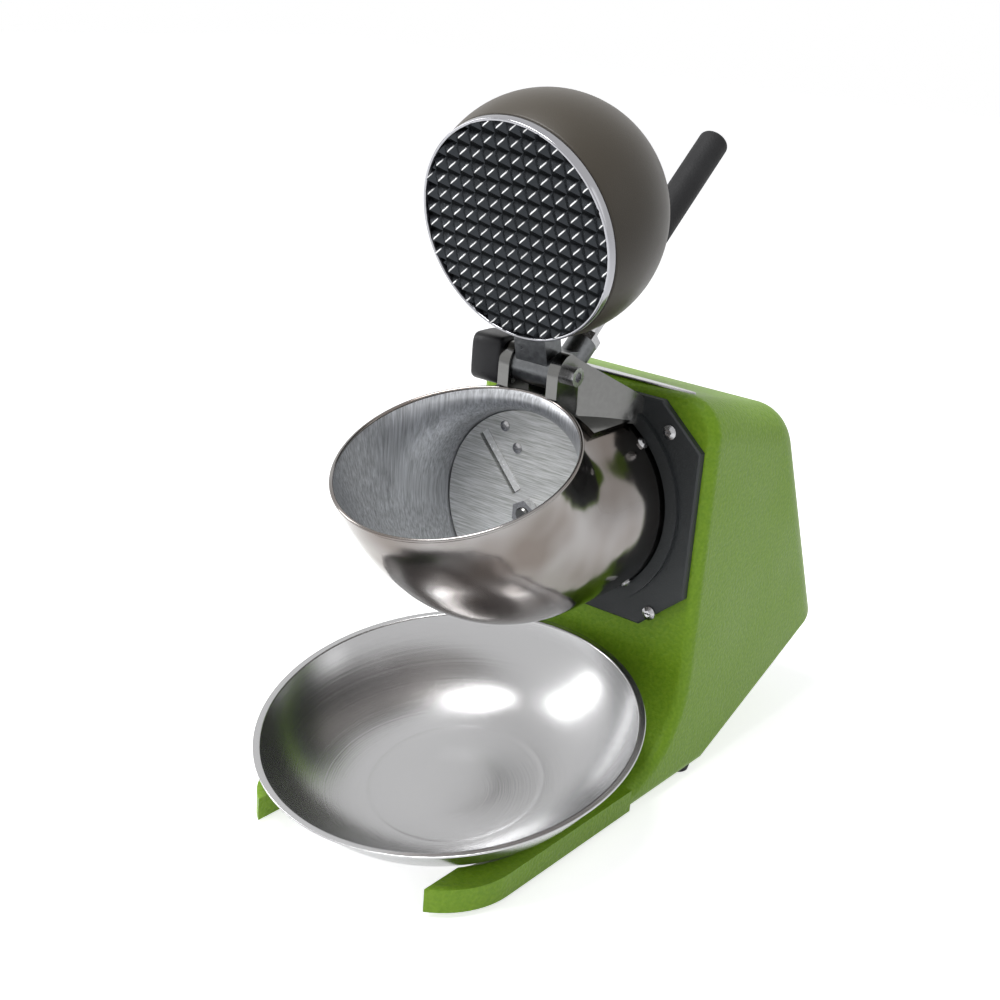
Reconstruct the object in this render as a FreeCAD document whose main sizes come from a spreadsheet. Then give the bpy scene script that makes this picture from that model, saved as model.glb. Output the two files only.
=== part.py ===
"""Electric ice shaver with a lever-pressed lid, as a parametric document of separate pieces.

Frame: +Z up, -Y towards the user, origin on the table under the middle of the machine, millimetres.
Most pieces are drawn in the head frame, whose origin is the centre of the blade disc: X to the right,
Y back along the motor's shaft, Z up. The lid's pieces are drawn in the lid frame, at the hinge pin, with
Z along the lid and Y out of its back. The bowl is drawn in the bowl frame, at the middle of its rim.
"""
import FreeCAD, Part
import os
import re
import Sketcher
from FreeCAD import Placement, Rotation, Vector

SIZES = {
    # stance and frame
    "axis_height": (196, "blade shaft above the table"),
    "disc_setback": (-36.25, "blade disc's front face, and the hinge pin above it, along Y"),
    "foot_height": (4, "rubber foot below the base"),
    "foot_radius": (10, "rubber foot"),
    "foot_stem_radius": (4, "plug of the foot"),
    "foot_stem_length": (8, "plug of the foot"),
    "fit_gap": (0.05, "radial gap of a running or push fit"),
    "touch_gap": (0.3, "gap between pieces that lie close"),
    # housing
    "body_half_width": (98, "half the housing's width"),
    "body_wall": (3, "housing wall"),
    "body_top": (87, "top of the housing above the shaft"),
    "top_slope": (13, "top falls towards the back, degrees"),
    "shoulder_reach": (186, "where the back slope would meet the top"),
    "shoulder_radius": (47, "round between top and back slope"),
    "tail_reach": (273, "where back slope and belly would meet"),
    "tail_height": (76, "that corner above the table"),
    "corner_radius": (27, "round between the flanks and the top and back"),
    "heel_reach": (105, "rear end of the flat sole"),
    "cove_radius": (64, "hollow between front wall and base"),
    "edge_round": (8, "round of the housing's long edges"),
    "base_thickness": (16, "base plate with its two prongs"),
    "prong_start": (126, "where the prong's outer side begins to curve in"),
    "prong_round": (56, "radius of that curve"),
    "slot_half_width": (71, "half the gap between the prongs"),
    "slot_centre": (92, "centre of the gap's round end, ahead of the disc"),
    "foot_spread": (84.5, "feet from the middle"),
    "front_foot_reach": (109, "front feet ahead of the disc"),
    "rear_foot_reach": (91, "rear feet behind the disc"),
    "cover_half_width": (58, "half the bottom cover's width"),
    "cover_front": (19, "bottom cover's front edge behind the disc"),
    "cover_back": (101, "bottom cover's rear edge behind the disc"),
    "cover_thickness": (2, "bottom cover sheet"),
    "cover_lip": (8, "ledge that the bottom cover screws to"),
    "vent_length": (46, "vent slot"),
    "vent_width": (4, "vent slot"),
    "vent_pitch": (10, "vent slots"),
    "vent_count": (6, "vent slots"),
    "badge_half_length": (70, "blank oval plate on top"),
    "badge_half_width": (11, "blank oval plate on top"),
    "badge_thickness": (1.2, "blank oval plate on top"),
    "badge_setback": (15, "middle of the oval behind the housing's front"),
    # front plate
    "plate_half_width": (90.5, "octagonal plate"),
    "plate_top": (80, "octagonal plate above the shaft"),
    "plate_bottom": (82, "octagonal plate below the shaft"),
    "plate_bevel_x": (33, "cut corner, sideways"),
    "plate_bevel_z": (29, "cut corner, upwards"),
    "plate_thickness": (5.5, "octagonal plate"),
    "plate_screw_x": (66, "plate screws from the middle"),
    "plate_screw_z": (65.5, "plate screws above and below the plate's middle"),
    "plate_drop": (5, "plate's middle below the shaft"),
    "plate_screw_radius": (2.5, "M5 shank"),
    "plate_screw_head": (5, "M5 pan head radius"),
    "spigot_length": (18, "ring that carries the hopper's neck"),
    "spigot_wall": (5, "that ring's wall"),
    "collar_radius": (80, "raised collar round the neck"),
    "collar_height": (3.5, "raised collar round the neck"),
    # hopper
    "elbow_radius": (88, "bend of the hopper's middle line, about a line above the disc's face"),
    "neck_radius": (71, "outside of the straight neck"),
    "mouth_radius": (79, "outside of the round mouth"),
    "hopper_wall": (1.2, "steel sheet"),
    "neck_length": (60.3, "disc face to the octagonal plate"),
    "rim_tilt": (21.8, "mouth leans towards the user, degrees"),
    "rim_bead": (1.3, "rolled lip radius"),
    "chute_half_width": (42, "discharge opening"),
    "chute_front": (8, "discharge opening behind the disc face"),
    "chute_back": (38, "discharge opening behind the disc face"),
    "neck_screw_reach": (52, "neck screws behind the disc face"),
    "neck_screw_radius": (2, "M4 shank"),
    "neck_screw_head": (4, "M4 pan head radius"),
    # hinge
    "pivot_rise": (100, "hinge pin above the shaft"),
    "pin_radius": (3, "M6 hinge bolt"),
    "pin_head_radius": (6.2, "its socket head"),
    "pin_head_length": (6, "its socket head"),
    "nut_width": (10, "M6 nut across flats"),
    "nut_height": (5, "M6 nut"),
    "knuckle_half_width": (15, "lid's knuckle between the cheeks"),
    "knuckle_radius": (12, "lid's knuckle"),
    "cheek_thickness": (8.5, "bracket cheek"),
    "cheek_round": (14, "bracket cheek's nose, round the pin"),
    "cheek_low": (86, "cheek's nose above the shaft, where it stops over the mouth"),
    "cheek_foot_x": (39, "cheek's middle at the octagonal plate"),
    "cheek_bend": (9, "behind the pin, where the cheeks start to splay"),
    "saddle_thickness": (4, "bracket saddle over the neck"),
    "saddle_half_angle": (32, "bracket saddle over the neck, degrees"),
    # lid
    "lid_tilt": (14.9, "open lid leans towards the user, degrees"),
    "lid_reach": (98, "middle of the lid from the pin"),
    "lid_drop": (16.2, "lid's rim plane ahead of the pin"),
    "press_radius": (69, "spiked press plate"),
    "press_thickness": (2.5, "press plate behind its spikes"),
    "spike_pitch": (10, "spikes"),
    "spike_height": (5, "spikes"),
    "spike_flat": (0.5, "flat tip of a spike"),
    "spike_rows": (14, "spikes across the plate"),
    "spike_proud": (1, "tips ahead of the band"),
    "band_depth": (6.5, "polished band round the plate"),
    "band_front_radius": (71, "polished band"),
    "dome_radius": (76.5, "dome on the lid's back"),
    "dome_centre": (33.7, "dome's centre behind the band's front"),
    "dome_wall": (1.2, "dome shell"),
    "arm_half_width": (12.5, "arm behind the press plate"),
    "arm_reach": (122, "tip of the arm from the pin"),
    "arm_screw_radius": (2, "M4 screws from the arm into the plate"),
    # lever
    "lever_root_back": (41, "lever socket behind the pin, in the lid frame"),
    "lever_root_drop": (4.7, "lever socket below the pin, in the lid frame"),
    "lever_rise": (26.2, "lever above the lid frame's Y, degrees"),
    "lever_radius": (6, "lever rod"),
    "lever_length": (193, "lever rod beyond its socket"),
    "socket_radius": (10, "lever socket"),
    "socket_depth": (14, "rod in its socket"),
    "locknut_width": (18, "lock nut across flats"),
    "locknut_height": (6, "lock nut"),
    "grip_start": (90, "rubber grip along the rod"),
    "grip_length": (107, "rubber grip"),
    "grip_radius": (11, "rubber grip"),
    # safety switch
    "safety_rise": (0.5, "middle of the switch housing above the pin"),
    "safety_lead": (1.5, "middle of the switch housing ahead of the pin"),
    "safety_height": (32, "switch housing"),
    "safety_depth": (26, "switch housing"),
    "safety_width": (17, "switch housing"),
    "safety_standoff": (6, "switch housing from the cheek"),
    "plunger_radius": (2.5, "interlock plunger"),
    "plunger_back": (8.5, "plunger behind the pin"),
    "plunger_travel": (2, "interlock plunger"),
    # blade disc
    "disc_radius": (69, "blade disc"),
    "disc_thickness": (4, "blade disc"),
    "hub_radius": (14, "hub behind the disc"),
    "hub_length": (18, "hub behind the disc"),
    "blade_count": (3, "blades"),
    "blade_angle": (132, "first blade from +X towards +Z, degrees"),
    "slot_inner": (16, "blade slot's inner end"),
    "slot_outer": (63, "blade slot's outer end"),
    "slot_behind": (4, "slot's edge on the blade's side"),
    "slot_ahead": (5, "slot's open edge"),
    "blade_thickness": (2, "blade"),
    "blade_width": (24, "blade behind the disc"),
    "blade_proud": (0.8, "cutting edge ahead of the disc"),
    "blade_screw_offset": (18, "blade screws from the slot"),
    "blade_screw_inner": (40, "inner blade screw"),
    "blade_screw_outer": (57, "outer blade screw"),
    "blade_screw_radius": (2, "M4 shank"),
    "disc_nut_width": (17, "nut on the shaft's end, across flats"),
    "disc_nut_height": (7, "nut on the shaft's end"),
    # drive
    "shaft_radius": (7.5, "shaft in its bearings"),
    "shaft_nose_radius": (5, "shaft through the disc"),
    "shaft_end": (173, "rear end of the shaft"),
    "bearing_radius": (17.5, "ball bearing outside"),
    "bearing_width": (11, "ball bearing"),
    "motor_radius": (52, "motor"),
    "motor_bore_radius": (34, "stator bore"),
    "motor_front_length": (21, "front end shield"),
    "stator_length": (56, "stator"),
    "motor_rear_length": (14, "rear end shield"),
    "air_gap": (0.5, "rotor to stator"),
    "motor_screw_circle": (43, "motor screws from the shaft"),
    "motor_screw_radius": (2.5, "M5"),
    "fan_radius": (33, "cooling fan"),
    "fan_width": (9, "cooling fan"),
    "fan_blades": (9, "cooling fan"),
    # bowl
    "bowl_radius": (130, "bowl's rim"),
    "bowl_lead": (70.6, "middle of the rim ahead of the disc"),
    "bowl_rise": (66, "middle of the rim above the table"),
    "bowl_tilt": (12.2, "bowl leans towards the user, degrees"),
    "bowl_depth": (54, "bowl"),
    "bowl_foot_radius": (58, "flat bottom of the bowl"),
    "bowl_side_radius": (88, "curve of its side"),
    "bowl_flange": (4, "flat rim"),
    "bowl_wall": (1, "steel sheet"),
    # power switch and cord entry
    "switch_reach": (111, "rocker switch behind the disc"),
    "switch_rise": (16, "rocker switch above the shaft"),
    "switch_height": (30, "bezel"),
    "switch_width": (22, "bezel"),
    "bezel_thickness": (2, "bezel"),
    "switch_inset": (3, "bezel's overlap on the housing"),
    "switch_depth": (20, "switch body inside the housing"),
    "rocker_height": (20, "rocker"),
    "rocker_width": (12, "rocker"),
    "rocker_proud": (2, "rocker ahead of the bezel"),
    "rocker_slant": (14, "rocker's travel, degrees"),
    "rocker_pin": (1.2, "radius of the rocker's two pivots"),
    "rocker_pin_length": (1.6, "each pivot beyond the rocker's side"),
    "gland_drop": (86, "cord entry below the shaft, on the back slope"),
    "gland_radius": (9, "cord entry"),
    "gland_bore": (4, "hole for the cord"),
    "gland_length": (10, "cord entry outside the housing"),
}

os.makedirs("parts", exist_ok=True)
doc = FreeCAD.newDocument("ice_shaver")
dims = doc.addObject("Spreadsheet::Sheet", "dims")
for row, (name, (size, meaning)) in enumerate(SIZES.items(), start=1):
    dims.set(f"A{row}", meaning)
    dims.set(f"B{row}", str(size))
    dims.setAlias(f"B{row}", name)
doc.recompute()

nodes = {}


# ---- helpers -------------------------------------------------------------------------------------------

def bound(text):
    """Expression in which each name of a size points at its cell."""
    return re.sub(r"[A-Za-z_]\w*", lambda found: "dims." + found[0] if found[0] in SIZES else found[0], text)


def value(text):
    """Number that an expression has now."""
    return float(dims.evalExpression(bound(text)))


def bind(item, path, text):
    item.setExpression(path, bound(text))


def place(item, x="0", y="0", z="0", axis=None, angle="0"):
    """Placement whose position and turn follow the sizes."""
    if axis is not None:
        item.Placement = Placement(Vector(value(x), value(y), value(z)), Rotation(axis, value(angle)))
        bind(item, "Placement.Rotation.Angle", angle)
    bind(item, "Placement.Base.x", x)
    bind(item, "Placement.Base.y", y)
    bind(item, "Placement.Base.z", z)


def in_head(item, axis=None, angle="0"):
    place(item, "0", "disc_setback", "axis_height", axis, angle)


def in_lid(item, x="0", y="0", z="0", turn="0"):
    """Place in the lid frame: at the hinge pin, leaning by lid_tilt, then moved by x, y, z in that frame."""
    lean_y = f"disc_setback + ({y}) * cos(lid_tilt) - ({z}) * sin(lid_tilt)"
    lean_z = f"axis_height + pivot_rise + ({y}) * sin(lid_tilt) + ({z}) * cos(lid_tilt)"
    place(item, x, lean_y, lean_z, Vector(1, 0, 0), f"lid_tilt + {turn}")


def new_body(label):
    body = doc.addObject("PartDesign::Body", label)
    body.Label = label
    return body


def new_sketch(body, name, plane, x="0", y="0", rise="0", turn="0", about=Vector(0, 0, 1)):
    """Sketch on one of the body's origin planes, moved in it by x, y, off it by rise, and turned by degrees
    about one of its own axes."""
    sketch = body.newObject("Sketcher::SketchObject", name)
    role = plane + "_Plane"
    sketch.AttachmentSupport = [(next(f for f in body.Origin.OriginFeatures if f.Role == role), "")]
    sketch.MapMode = "FlatFace"
    offset = Vector(value(x), value(y), value(rise))
    sketch.AttachmentOffset = Placement(offset, Rotation(about, value(turn)))
    for path, text in (("Base.x", x), ("Base.y", y), ("Base.z", rise), ("Rotation.Angle", turn)):
        if text != "0":
            bind(sketch, "AttachmentOffset." + path, text)
    return sketch


def fix(sketch, kind, *where, text):
    """Add a constraint whose value follows an expression."""
    number = sketch.addConstraint(Sketcher.Constraint(kind, *where, value(text)))
    bind(sketch, f"Constraints[{number}]", text)


def outline(sketch, corners, arcs=None):
    """Closed outline through corners, pairs of expressions. arcs maps the number of an edge to its radius;
    a radius that starts with '<' turns clockwise along the outline, and any other one anticlockwise."""
    arcs = arcs or {}
    points = [Vector(value(x), value(y), 0) for x, y in corners]
    starts, ends = [], []
    for number, start in enumerate(points):
        end = points[(number + 1) % len(points)]
        if number not in arcs:
            edge = sketch.addGeometry(Part.LineSegment(start, end))
            starts.append((edge, 1))
            ends.append((edge, 2))
            continue
        clockwise = arcs[number].startswith("<")
        radius = value(arcs[number].lstrip("<"))
        chord = end - start
        side = Vector(-chord.y, chord.x, 0).normalize() * (-1 if clockwise else 1)
        centre = (start + end) * 0.5 + side * max(radius ** 2 - chord.Length ** 2 / 4, 0) ** 0.5
        first, last = (end, start) if clockwise else (start, end)
        angles = [(point - centre).getAngle(Vector(1, 0, 0)) * (1 if point.y >= centre.y else -1)
                  for point in (first, last)]
        circle = Part.Circle(centre, Vector(0, 0, 1), radius)
        edge = sketch.addGeometry(Part.ArcOfCircle(circle, angles[0], angles[1]))
        starts.append((edge, 2 if clockwise else 1))
        ends.append((edge, 1 if clockwise else 2))
    for number, (x, y) in enumerate(corners):
        sketch.addConstraint(Sketcher.Constraint("Coincident", *ends[number - 1], *starts[number]))
        fix(sketch, "DistanceX", -1, 1, *starts[number], text=x)
        fix(sketch, "DistanceY", -1, 1, *starts[number], text=y)
    for number, radius in arcs.items():
        fix(sketch, "Radius", starts[number][0], text=radius.lstrip("<"))
    return sketch


def rectangle(sketch, left, bottom, right, top):
    return outline(sketch, [(left, bottom), (right, bottom), (right, top), (left, top)])


def circle(sketch, radius, x="0", y="0"):
    edge = sketch.addGeometry(Part.Circle(Vector(value(x), value(y), 0), Vector(0, 0, 1), value(radius)))
    fix(sketch, "DistanceX", -1, 1, edge, 3, text=x)
    fix(sketch, "DistanceY", -1, 1, edge, 3, text=y)
    fix(sketch, "Radius", edge, text=radius)
    return sketch


def hexagon(sketch, across):
    """Regular hexagon about the sketch's origin, with two flats square to its X axis."""
    corners = [(f"({across}) / sqrt(3) * cos({turn})", f"({across}) / sqrt(3) * sin({turn})")
               for turn in range(30, 390, 60)]
    return outline(sketch, corners)


def extrude(body, kind, sketch, length, both=False, back=False):
    """Pad or Pocket of a sketch. both: half to each side; back: against the usual direction."""
    feature = body.newObject("PartDesign::" + kind, kind)
    feature.Profile = sketch
    feature.SideType = "Symmetric" if both else "One side"
    feature.Reversed = back
    bind(feature, "Length", length)
    doc.recompute()
    return feature


def spin(body, kind, sketch, axis="H_Axis"):
    """Revolution or Groove of a sketch round one of its own axes."""
    feature = body.newObject("PartDesign::" + kind, kind)
    feature.Profile = sketch
    feature.ReferenceAxis = (sketch, [axis])
    feature.Angle = 360
    doc.recompute()
    return feature


def around(body, feature, axis, count):
    """Polar pattern of one feature about an origin axis."""
    pattern = body.newObject("PartDesign::PolarPattern", "PolarPattern")
    pattern.Originals = [feature]
    pattern.Axis = (next(f for f in body.Origin.OriginFeatures if f.Role == axis + "_Axis"), [""])
    pattern.Angle = 360
    bind(pattern, "Occurrences", count)
    body.Tip = pattern
    doc.recompute()
    return pattern


def along(body, feature, axis, length, count):
    """Linear pattern of one feature along an origin axis."""
    pattern = body.newObject("PartDesign::LinearPattern", "LinearPattern")
    pattern.Originals = [feature]
    pattern.Direction = (next(f for f in body.Origin.OriginFeatures if f.Role == axis + "_Axis"), [""])
    bind(pattern, "Length", length)
    bind(pattern, "Occurrences", count)
    body.Tip = pattern
    doc.recompute()
    return pattern


def nearest(shape, kind, *places):
    """Names of the edges or faces of a shape that pass nearest to the given places."""
    items = shape.Edges if kind == "Edge" else shape.Faces
    names = []
    for spot in places:
        vertex = Part.Vertex(spot)
        best = min(range(len(items)), key=lambda number: items[number].distToShape(vertex)[0])
        names.append(f"{kind}{best + 1}")
    return sorted(set(names))


def soften(body, kind, names, size):
    """Fillet or Chamfer of the named edges of the body's last feature."""
    base = body.Tip
    feature = body.newObject("PartDesign::" + kind, kind)
    feature.Base = (base, names)
    bind(feature, "Radius" if kind == "Fillet" else "Size", size)
    doc.recompute()
    return feature


def cut_out(body, tool):
    """Take another body's shape out of this one."""
    cut = body.newObject("PartDesign::Boolean", "Boolean")
    cut.Type = "Cut"
    cut.setObjects([tool])
    doc.recompute()


def group(label, bodies):
    """Separate solids of one kind, kept as one node."""
    compound = doc.addObject("Part::Compound", label)
    compound.Label = label
    compound.Links = bodies
    nodes[label] = compound


def screw(label, shank, length, head, head_height, dome=True):
    """Screw along Z: shank from 0 down to -length, pan or flat head above, cross slot on top."""
    body = new_body(label)
    profile = new_sketch(body, "profile", "XZ")
    corners = [("0", f"-({length})"), (shank, f"-({length})"), (shank, "0"), (head, "0")]
    if dome:
        corners += [(head, f"({head_height}) * 0.45"), (f"({head}) * 0.45", head_height), ("0", head_height)]
    else:
        corners += [(head, head_height), ("0", head_height)]
    outline(profile, corners)
    spin(body, "Revolution", profile, "V_Axis")
    recess = new_sketch(body, "recess", "XY", rise=head_height)
    rectangle(recess, f"-({head}) * 0.5", "-0.5", f"({head}) * 0.5", "0.5")
    extrude(body, "Pocket", recess, f"({head_height}) * 0.5")
    return body


# ---- places that several pieces share --------------------------------------------------------------------

SOLE = "(foot_height - axis_height)"
BASE_TOP = "(foot_height + base_thickness - axis_height)"
FRONT = "(neck_length + plate_thickness)"
TOE = f"({FRONT} - cove_radius)"
TAIL_Z = "(tail_height - axis_height)"
SHOULDER_Z = f"(body_top - (shoulder_reach - {FRONT}) * tan(top_slope))"
BACK_SLOPE = f"((tail_reach - shoulder_reach) / ({SHOULDER_Z} - {TAIL_Z}))"
BELLY_SLOPE = f"(({TAIL_Z} - {SOLE}) / (tail_reach - heel_reach))"
NECK_INSIDE = "(neck_radius - hopper_wall)"
SPIKE_TIP = "(-lid_drop - spike_proud)"
SPIKE_BASE = f"({SPIKE_TIP} + spike_height)"
PRESS_BACK = f"({SPIKE_BASE} + press_thickness)"
BAND_BACK = "(band_depth - lid_drop)"
DOME_MIDDLE = "(dome_centre - lid_drop)"
CHEEK_INSIDE = "(knuckle_half_width + touch_gap)"
CHEEK_OUTSIDE = f"({CHEEK_INSIDE} + cheek_thickness)"
SAFETY_INSIDE = f"({CHEEK_OUTSIDE} + safety_standoff)"
STATOR_START = f"({FRONT} + motor_front_length)"
STATOR_END = f"({STATOR_START} + stator_length)"
FRONT_BEARING = f"({FRONT} + 4)"
HUB_END = "(disc_thickness + hub_length)"
SOCKET_END = "6"
GLAND_Y = f"(shoulder_reach + {BACK_SLOPE} * ({SHOULDER_Z} + gland_drop))"
X_AXIS = Vector(1, 0, 0)
Y_AXIS = Vector(0, 1, 0)

SIDES = (-1, 1)
FEET = [(f"{x} * foot_spread", y) for x in SIDES for y in ("-front_foot_reach", "rear_foot_reach")]
COVER_SCREWS = [(f"{x} * (cover_half_width - cover_lip / 2)", y) for x in SIDES
                for y in ("cover_front + cover_lip * 2", "cover_back - cover_lip * 2")]
PLATE_SCREWS = [(f"{x} * plate_screw_x", f"{z} * plate_screw_z - plate_drop") for x in SIDES for z in SIDES]
MOTOR_SCREWS = [(f"{x} * motor_screw_circle * cos(45)", f"{z} * motor_screw_circle * cos(45)")
                for x in SIDES for z in SIDES]
ARM_SCREWS = [(f"{x} * arm_half_width * 0.6", f"lid_reach + {z} * press_radius * 0.3")
              for x in SIDES for z in (-2, 0)]
BLADE_SCREWS = [("blade_screw_inner", "-blade_screw_offset"), ("blade_screw_outer", "-blade_screw_offset")]


def bowl_outside(gap):
    """Half outline of the bowl's outside, from the middle of its bottom to its rim, grown by gap."""
    return [("0", f"-bowl_depth - {gap}"), ("bowl_foot_radius", f"-bowl_depth - {gap}"),
            (f"bowl_radius - bowl_flange + {gap}", f"-bowl_wall"), (f"bowl_radius + {gap}", "-bowl_wall")]


# ---- housing -------------------------------------------------------------------------------------------

def column(label, inset="0"):
    """Solid column of the housing, drawn from the side, with every wall moved in by inset."""
    body = new_body(label)
    heel = f"(heel_reach + ({inset}) * (1 - sqrt(1 + {BELLY_SLOPE} ^ 2)) / {BELLY_SLOPE})"
    back = f"(tail_reach - ({inset}) * sqrt(1 + {BACK_SLOPE} ^ 2) + {BACK_SLOPE} * {TAIL_Z})"
    lower = f"({SOLE} + ({inset}) * sqrt(1 + {BELLY_SLOPE} ^ 2) - {BELLY_SLOPE} * heel_reach)"
    tail_y = f"(({back} - {BACK_SLOPE} * {lower}) / (1 + {BACK_SLOPE} * {BELLY_SLOPE}))"
    tail_z = f"({lower} + {BELLY_SLOPE} * {tail_y})"
    crown = f"(body_top + {FRONT} * tan(top_slope) - ({inset}) / cos(top_slope))"
    brow = f"({crown} - ({FRONT} + ({inset})) * tan(top_slope))"
    shoulder = f"(({back} - {BACK_SLOPE} * {crown}) / (1 - {BACK_SLOPE} * tan(top_slope)))"
    nape = f"({crown} - {shoulder} * tan(top_slope))"
    side = new_sketch(body, "side_profile", "YZ")
    outline(side, [(f"{FRONT} + ({inset})", brow), (f"{FRONT} + ({inset})", f"{BASE_TOP} + cove_radius"),
                   (TOE, f"{BASE_TOP} - ({inset})"), (TOE, f"{SOLE} + ({inset})"),
                   (heel, f"{SOLE} + ({inset})"), (tail_y, tail_z), (shoulder, nape)],
            arcs={1: f"<cove_radius + ({inset})"})
    pad = extrude(body, "Pad", side, f"2 * (body_half_width - ({inset}))", both=True)
    bend = soften(body, "Fillet", nearest(pad.Shape, "Edge", Vector(0, value(shoulder), value(nape))),
                  f"shoulder_radius - ({inset})")
    flanks = [Vector(side * (value("body_half_width") - value(inset)), value(FRONT) + value(inset), value(brow))
              + Vector(0, 20, -20 * value("tan(top_slope)")) for side in SIDES]
    roof = soften(body, "Fillet", nearest(bend.Shape, "Edge", *flanks), f"corner_radius - ({inset})")
    flanks = [Vector(flank.x, flank.y, 0) for flank in flanks]
    soften(body, "Fillet", nearest(roof.Shape, "Face", *flanks), f"edge_round - ({inset})")
    return body


def body_shell():
    """Housing: a hollow column with a sloping back, on a base with two prongs round the bowl."""
    body = column("body_shell")
    plan = new_sketch(body, "base_plan", "XY", rise=SOLE)
    tip = "(-prong_start - sqrt(prong_round ^ 2 - (slot_half_width - body_half_width + prong_round) ^ 2))"
    heel = f"({TOE} + edge_round)"
    outline(plan, [("body_half_width", heel), ("-body_half_width", heel), ("-body_half_width", "-prong_start"),
                   ("-slot_half_width", tip), ("-slot_half_width", "-slot_centre"),
                   ("0", "slot_half_width - slot_centre"), ("slot_half_width", "-slot_centre"),
                   ("slot_half_width", tip), ("body_half_width", "-prong_start")],
            arcs={2: "prong_round", 4: "<slot_half_width", 5: "<slot_half_width", 7: "prong_round"})
    extrude(body, "Pad", plan, "base_thickness")
    cut_out(body, column("cavity", "body_wall"))
    seat = new_sketch(body, "bowl_seat", "YZ", "-bowl_lead", "bowl_rise - axis_height", turn="bowl_tilt")
    outline(seat, bowl_outside("touch_gap") + [("bowl_radius + touch_gap", "bowl_depth"), ("0", "bowl_depth")],
            arcs={1: "bowl_side_radius + touch_gap"})
    spin(body, "Groove", seat, "V_Axis")
    opening = new_sketch(body, "cover_opening", "XY", rise=SOLE)
    rectangle(opening, "-(cover_half_width - cover_lip)", "cover_front + cover_lip",
              "cover_half_width - cover_lip", "cover_back - cover_lip")
    extrude(body, "Pocket", opening, "base_thickness", back=True)
    recess = new_sketch(body, "cover_recess", "XY", rise=SOLE)
    rectangle(recess, "-(cover_half_width + touch_gap)", "cover_front - touch_gap",
              "cover_half_width + touch_gap", "cover_back + touch_gap")
    extrude(body, "Pocket", recess, "cover_thickness / 2", back=True)
    mouth = new_sketch(body, "motor_opening", "XZ", rise=f"-{FRONT}")
    circle(mouth, "motor_radius + 2")
    for x, z in PLATE_SCREWS:
        circle(mouth, "plate_screw_radius + fit_gap", x, z)
    extrude(body, "Pocket", mouth, "body_wall + touch_gap")
    holes = new_sketch(body, "sole_holes", "XY", rise=SOLE)
    for x, y in FEET:
        circle(holes, "foot_stem_radius + fit_gap", x, y)
    for x, y in COVER_SCREWS:
        circle(holes, "neck_screw_radius + fit_gap", x, y)
    extrude(body, "Pocket", holes, "foot_stem_length + 1", back=True)
    window = new_sketch(body, "switch_window", "YZ", "switch_reach", "switch_rise", "-body_half_width")
    wide, tall = "(switch_width / 2 - switch_inset + touch_gap)", "(switch_height / 2 - switch_inset + touch_gap)"
    rectangle(window, f"-{wide}", f"-{tall}", wide, tall)
    extrude(body, "Pocket", window, "body_wall + touch_gap", back=True)
    entry = new_sketch(body, "cord_hole", "XZ", "0", "-gland_drop", f"-{GLAND_Y}", f"atan({BACK_SLOPE})", X_AXIS)
    circle(entry, "gland_radius - 3 + fit_gap")
    extrude(body, "Pocket", entry, "4 * body_wall", both=True)
    in_head(body)
    nodes["body_shell"] = body


def base_cover():
    """Sheet that closes the housing's bottom opening, with slots for the motor's cooling air."""
    body = new_body("base_cover")
    sheet = new_sketch(body, "sheet", "XY", rise=f"{SOLE} - cover_thickness / 2")
    rectangle(sheet, "-cover_half_width", "cover_front", "cover_half_width", "cover_back")
    for x, y in COVER_SCREWS:
        circle(sheet, "neck_screw_radius + touch_gap", x, y)
    extrude(body, "Pad", sheet, "cover_thickness")
    first = f"((cover_front + cover_back) / 2 - vent_pitch * (vent_count - 1) / 2)"
    slot = new_sketch(body, "vent", "XY", "0", first, f"{SOLE} - cover_thickness / 2")
    rectangle(slot, "-vent_length / 2", "-vent_width / 2", "vent_length / 2", "vent_width / 2")
    vent = extrude(body, "Pocket", slot, "cover_thickness * 2", both=True)
    along(body, vent, "Y", "vent_pitch * (vent_count - 1)", "vent_count")
    in_head(body)
    nodes["base_cover"] = body


def rubber_feet():
    feet = []
    for x, y in FEET:
        foot = new_body("foot")
        profile = new_sketch(foot, "profile", "XZ")
        outline(profile, [("0", "0"), ("foot_radius - 1", "0"), ("foot_radius", "foot_height"),
                          ("foot_stem_radius", "foot_height"),
                          ("foot_stem_radius", "foot_height + foot_stem_length"),
                          ("0", "foot_height + foot_stem_length")])
        spin(foot, "Revolution", profile, "V_Axis")
        place(foot, x, f"disc_setback + {y}", "0")
        feet.append(foot)
    group("rubber_feet", feet)


def cover_screws():
    screws = []
    for x, y in COVER_SCREWS:
        item = screw("cover_screw", "neck_screw_radius", "foot_stem_length", "neck_screw_head", "1.8")
        place(item, x, f"disc_setback + {y}", "foot_height - cover_thickness / 2", X_AXIS, "180")
        screws.append(item)
    group("cover_screws", screws)


def top_badge():
    """Blank oval plate on the housing's top."""
    body = new_body("top_badge")
    oval = new_sketch(body, "oval", "XY")
    oval.addGeometry(Part.Ellipse(Vector(0, 0, 0), value("badge_half_length"), value("badge_half_width")))
    oval.exposeInternalGeometry(0)
    oval.addConstraint(Sketcher.Constraint("Coincident", 0, 3, -1, 1))
    oval.addConstraint(Sketcher.Constraint("Horizontal", 1))
    fix(oval, "Distance", 1, text="2 * badge_half_length")
    fix(oval, "Distance", 2, text="2 * badge_half_width")
    pad = extrude(body, "Pad", oval, "badge_thickness")
    top = Vector(0, 0, value("badge_thickness"))
    soften(body, "Chamfer", nearest(pad.Shape, "Face", top), "badge_thickness * 0.4")
    place(body, "0", f"disc_setback + {FRONT} + badge_setback", "axis_height + body_top - badge_setback * tan(top_slope)",
          X_AXIS, "-top_slope")
    nodes["top_badge"] = body


# ---- front plate and hopper ------------------------------------------------------------------------------

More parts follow.
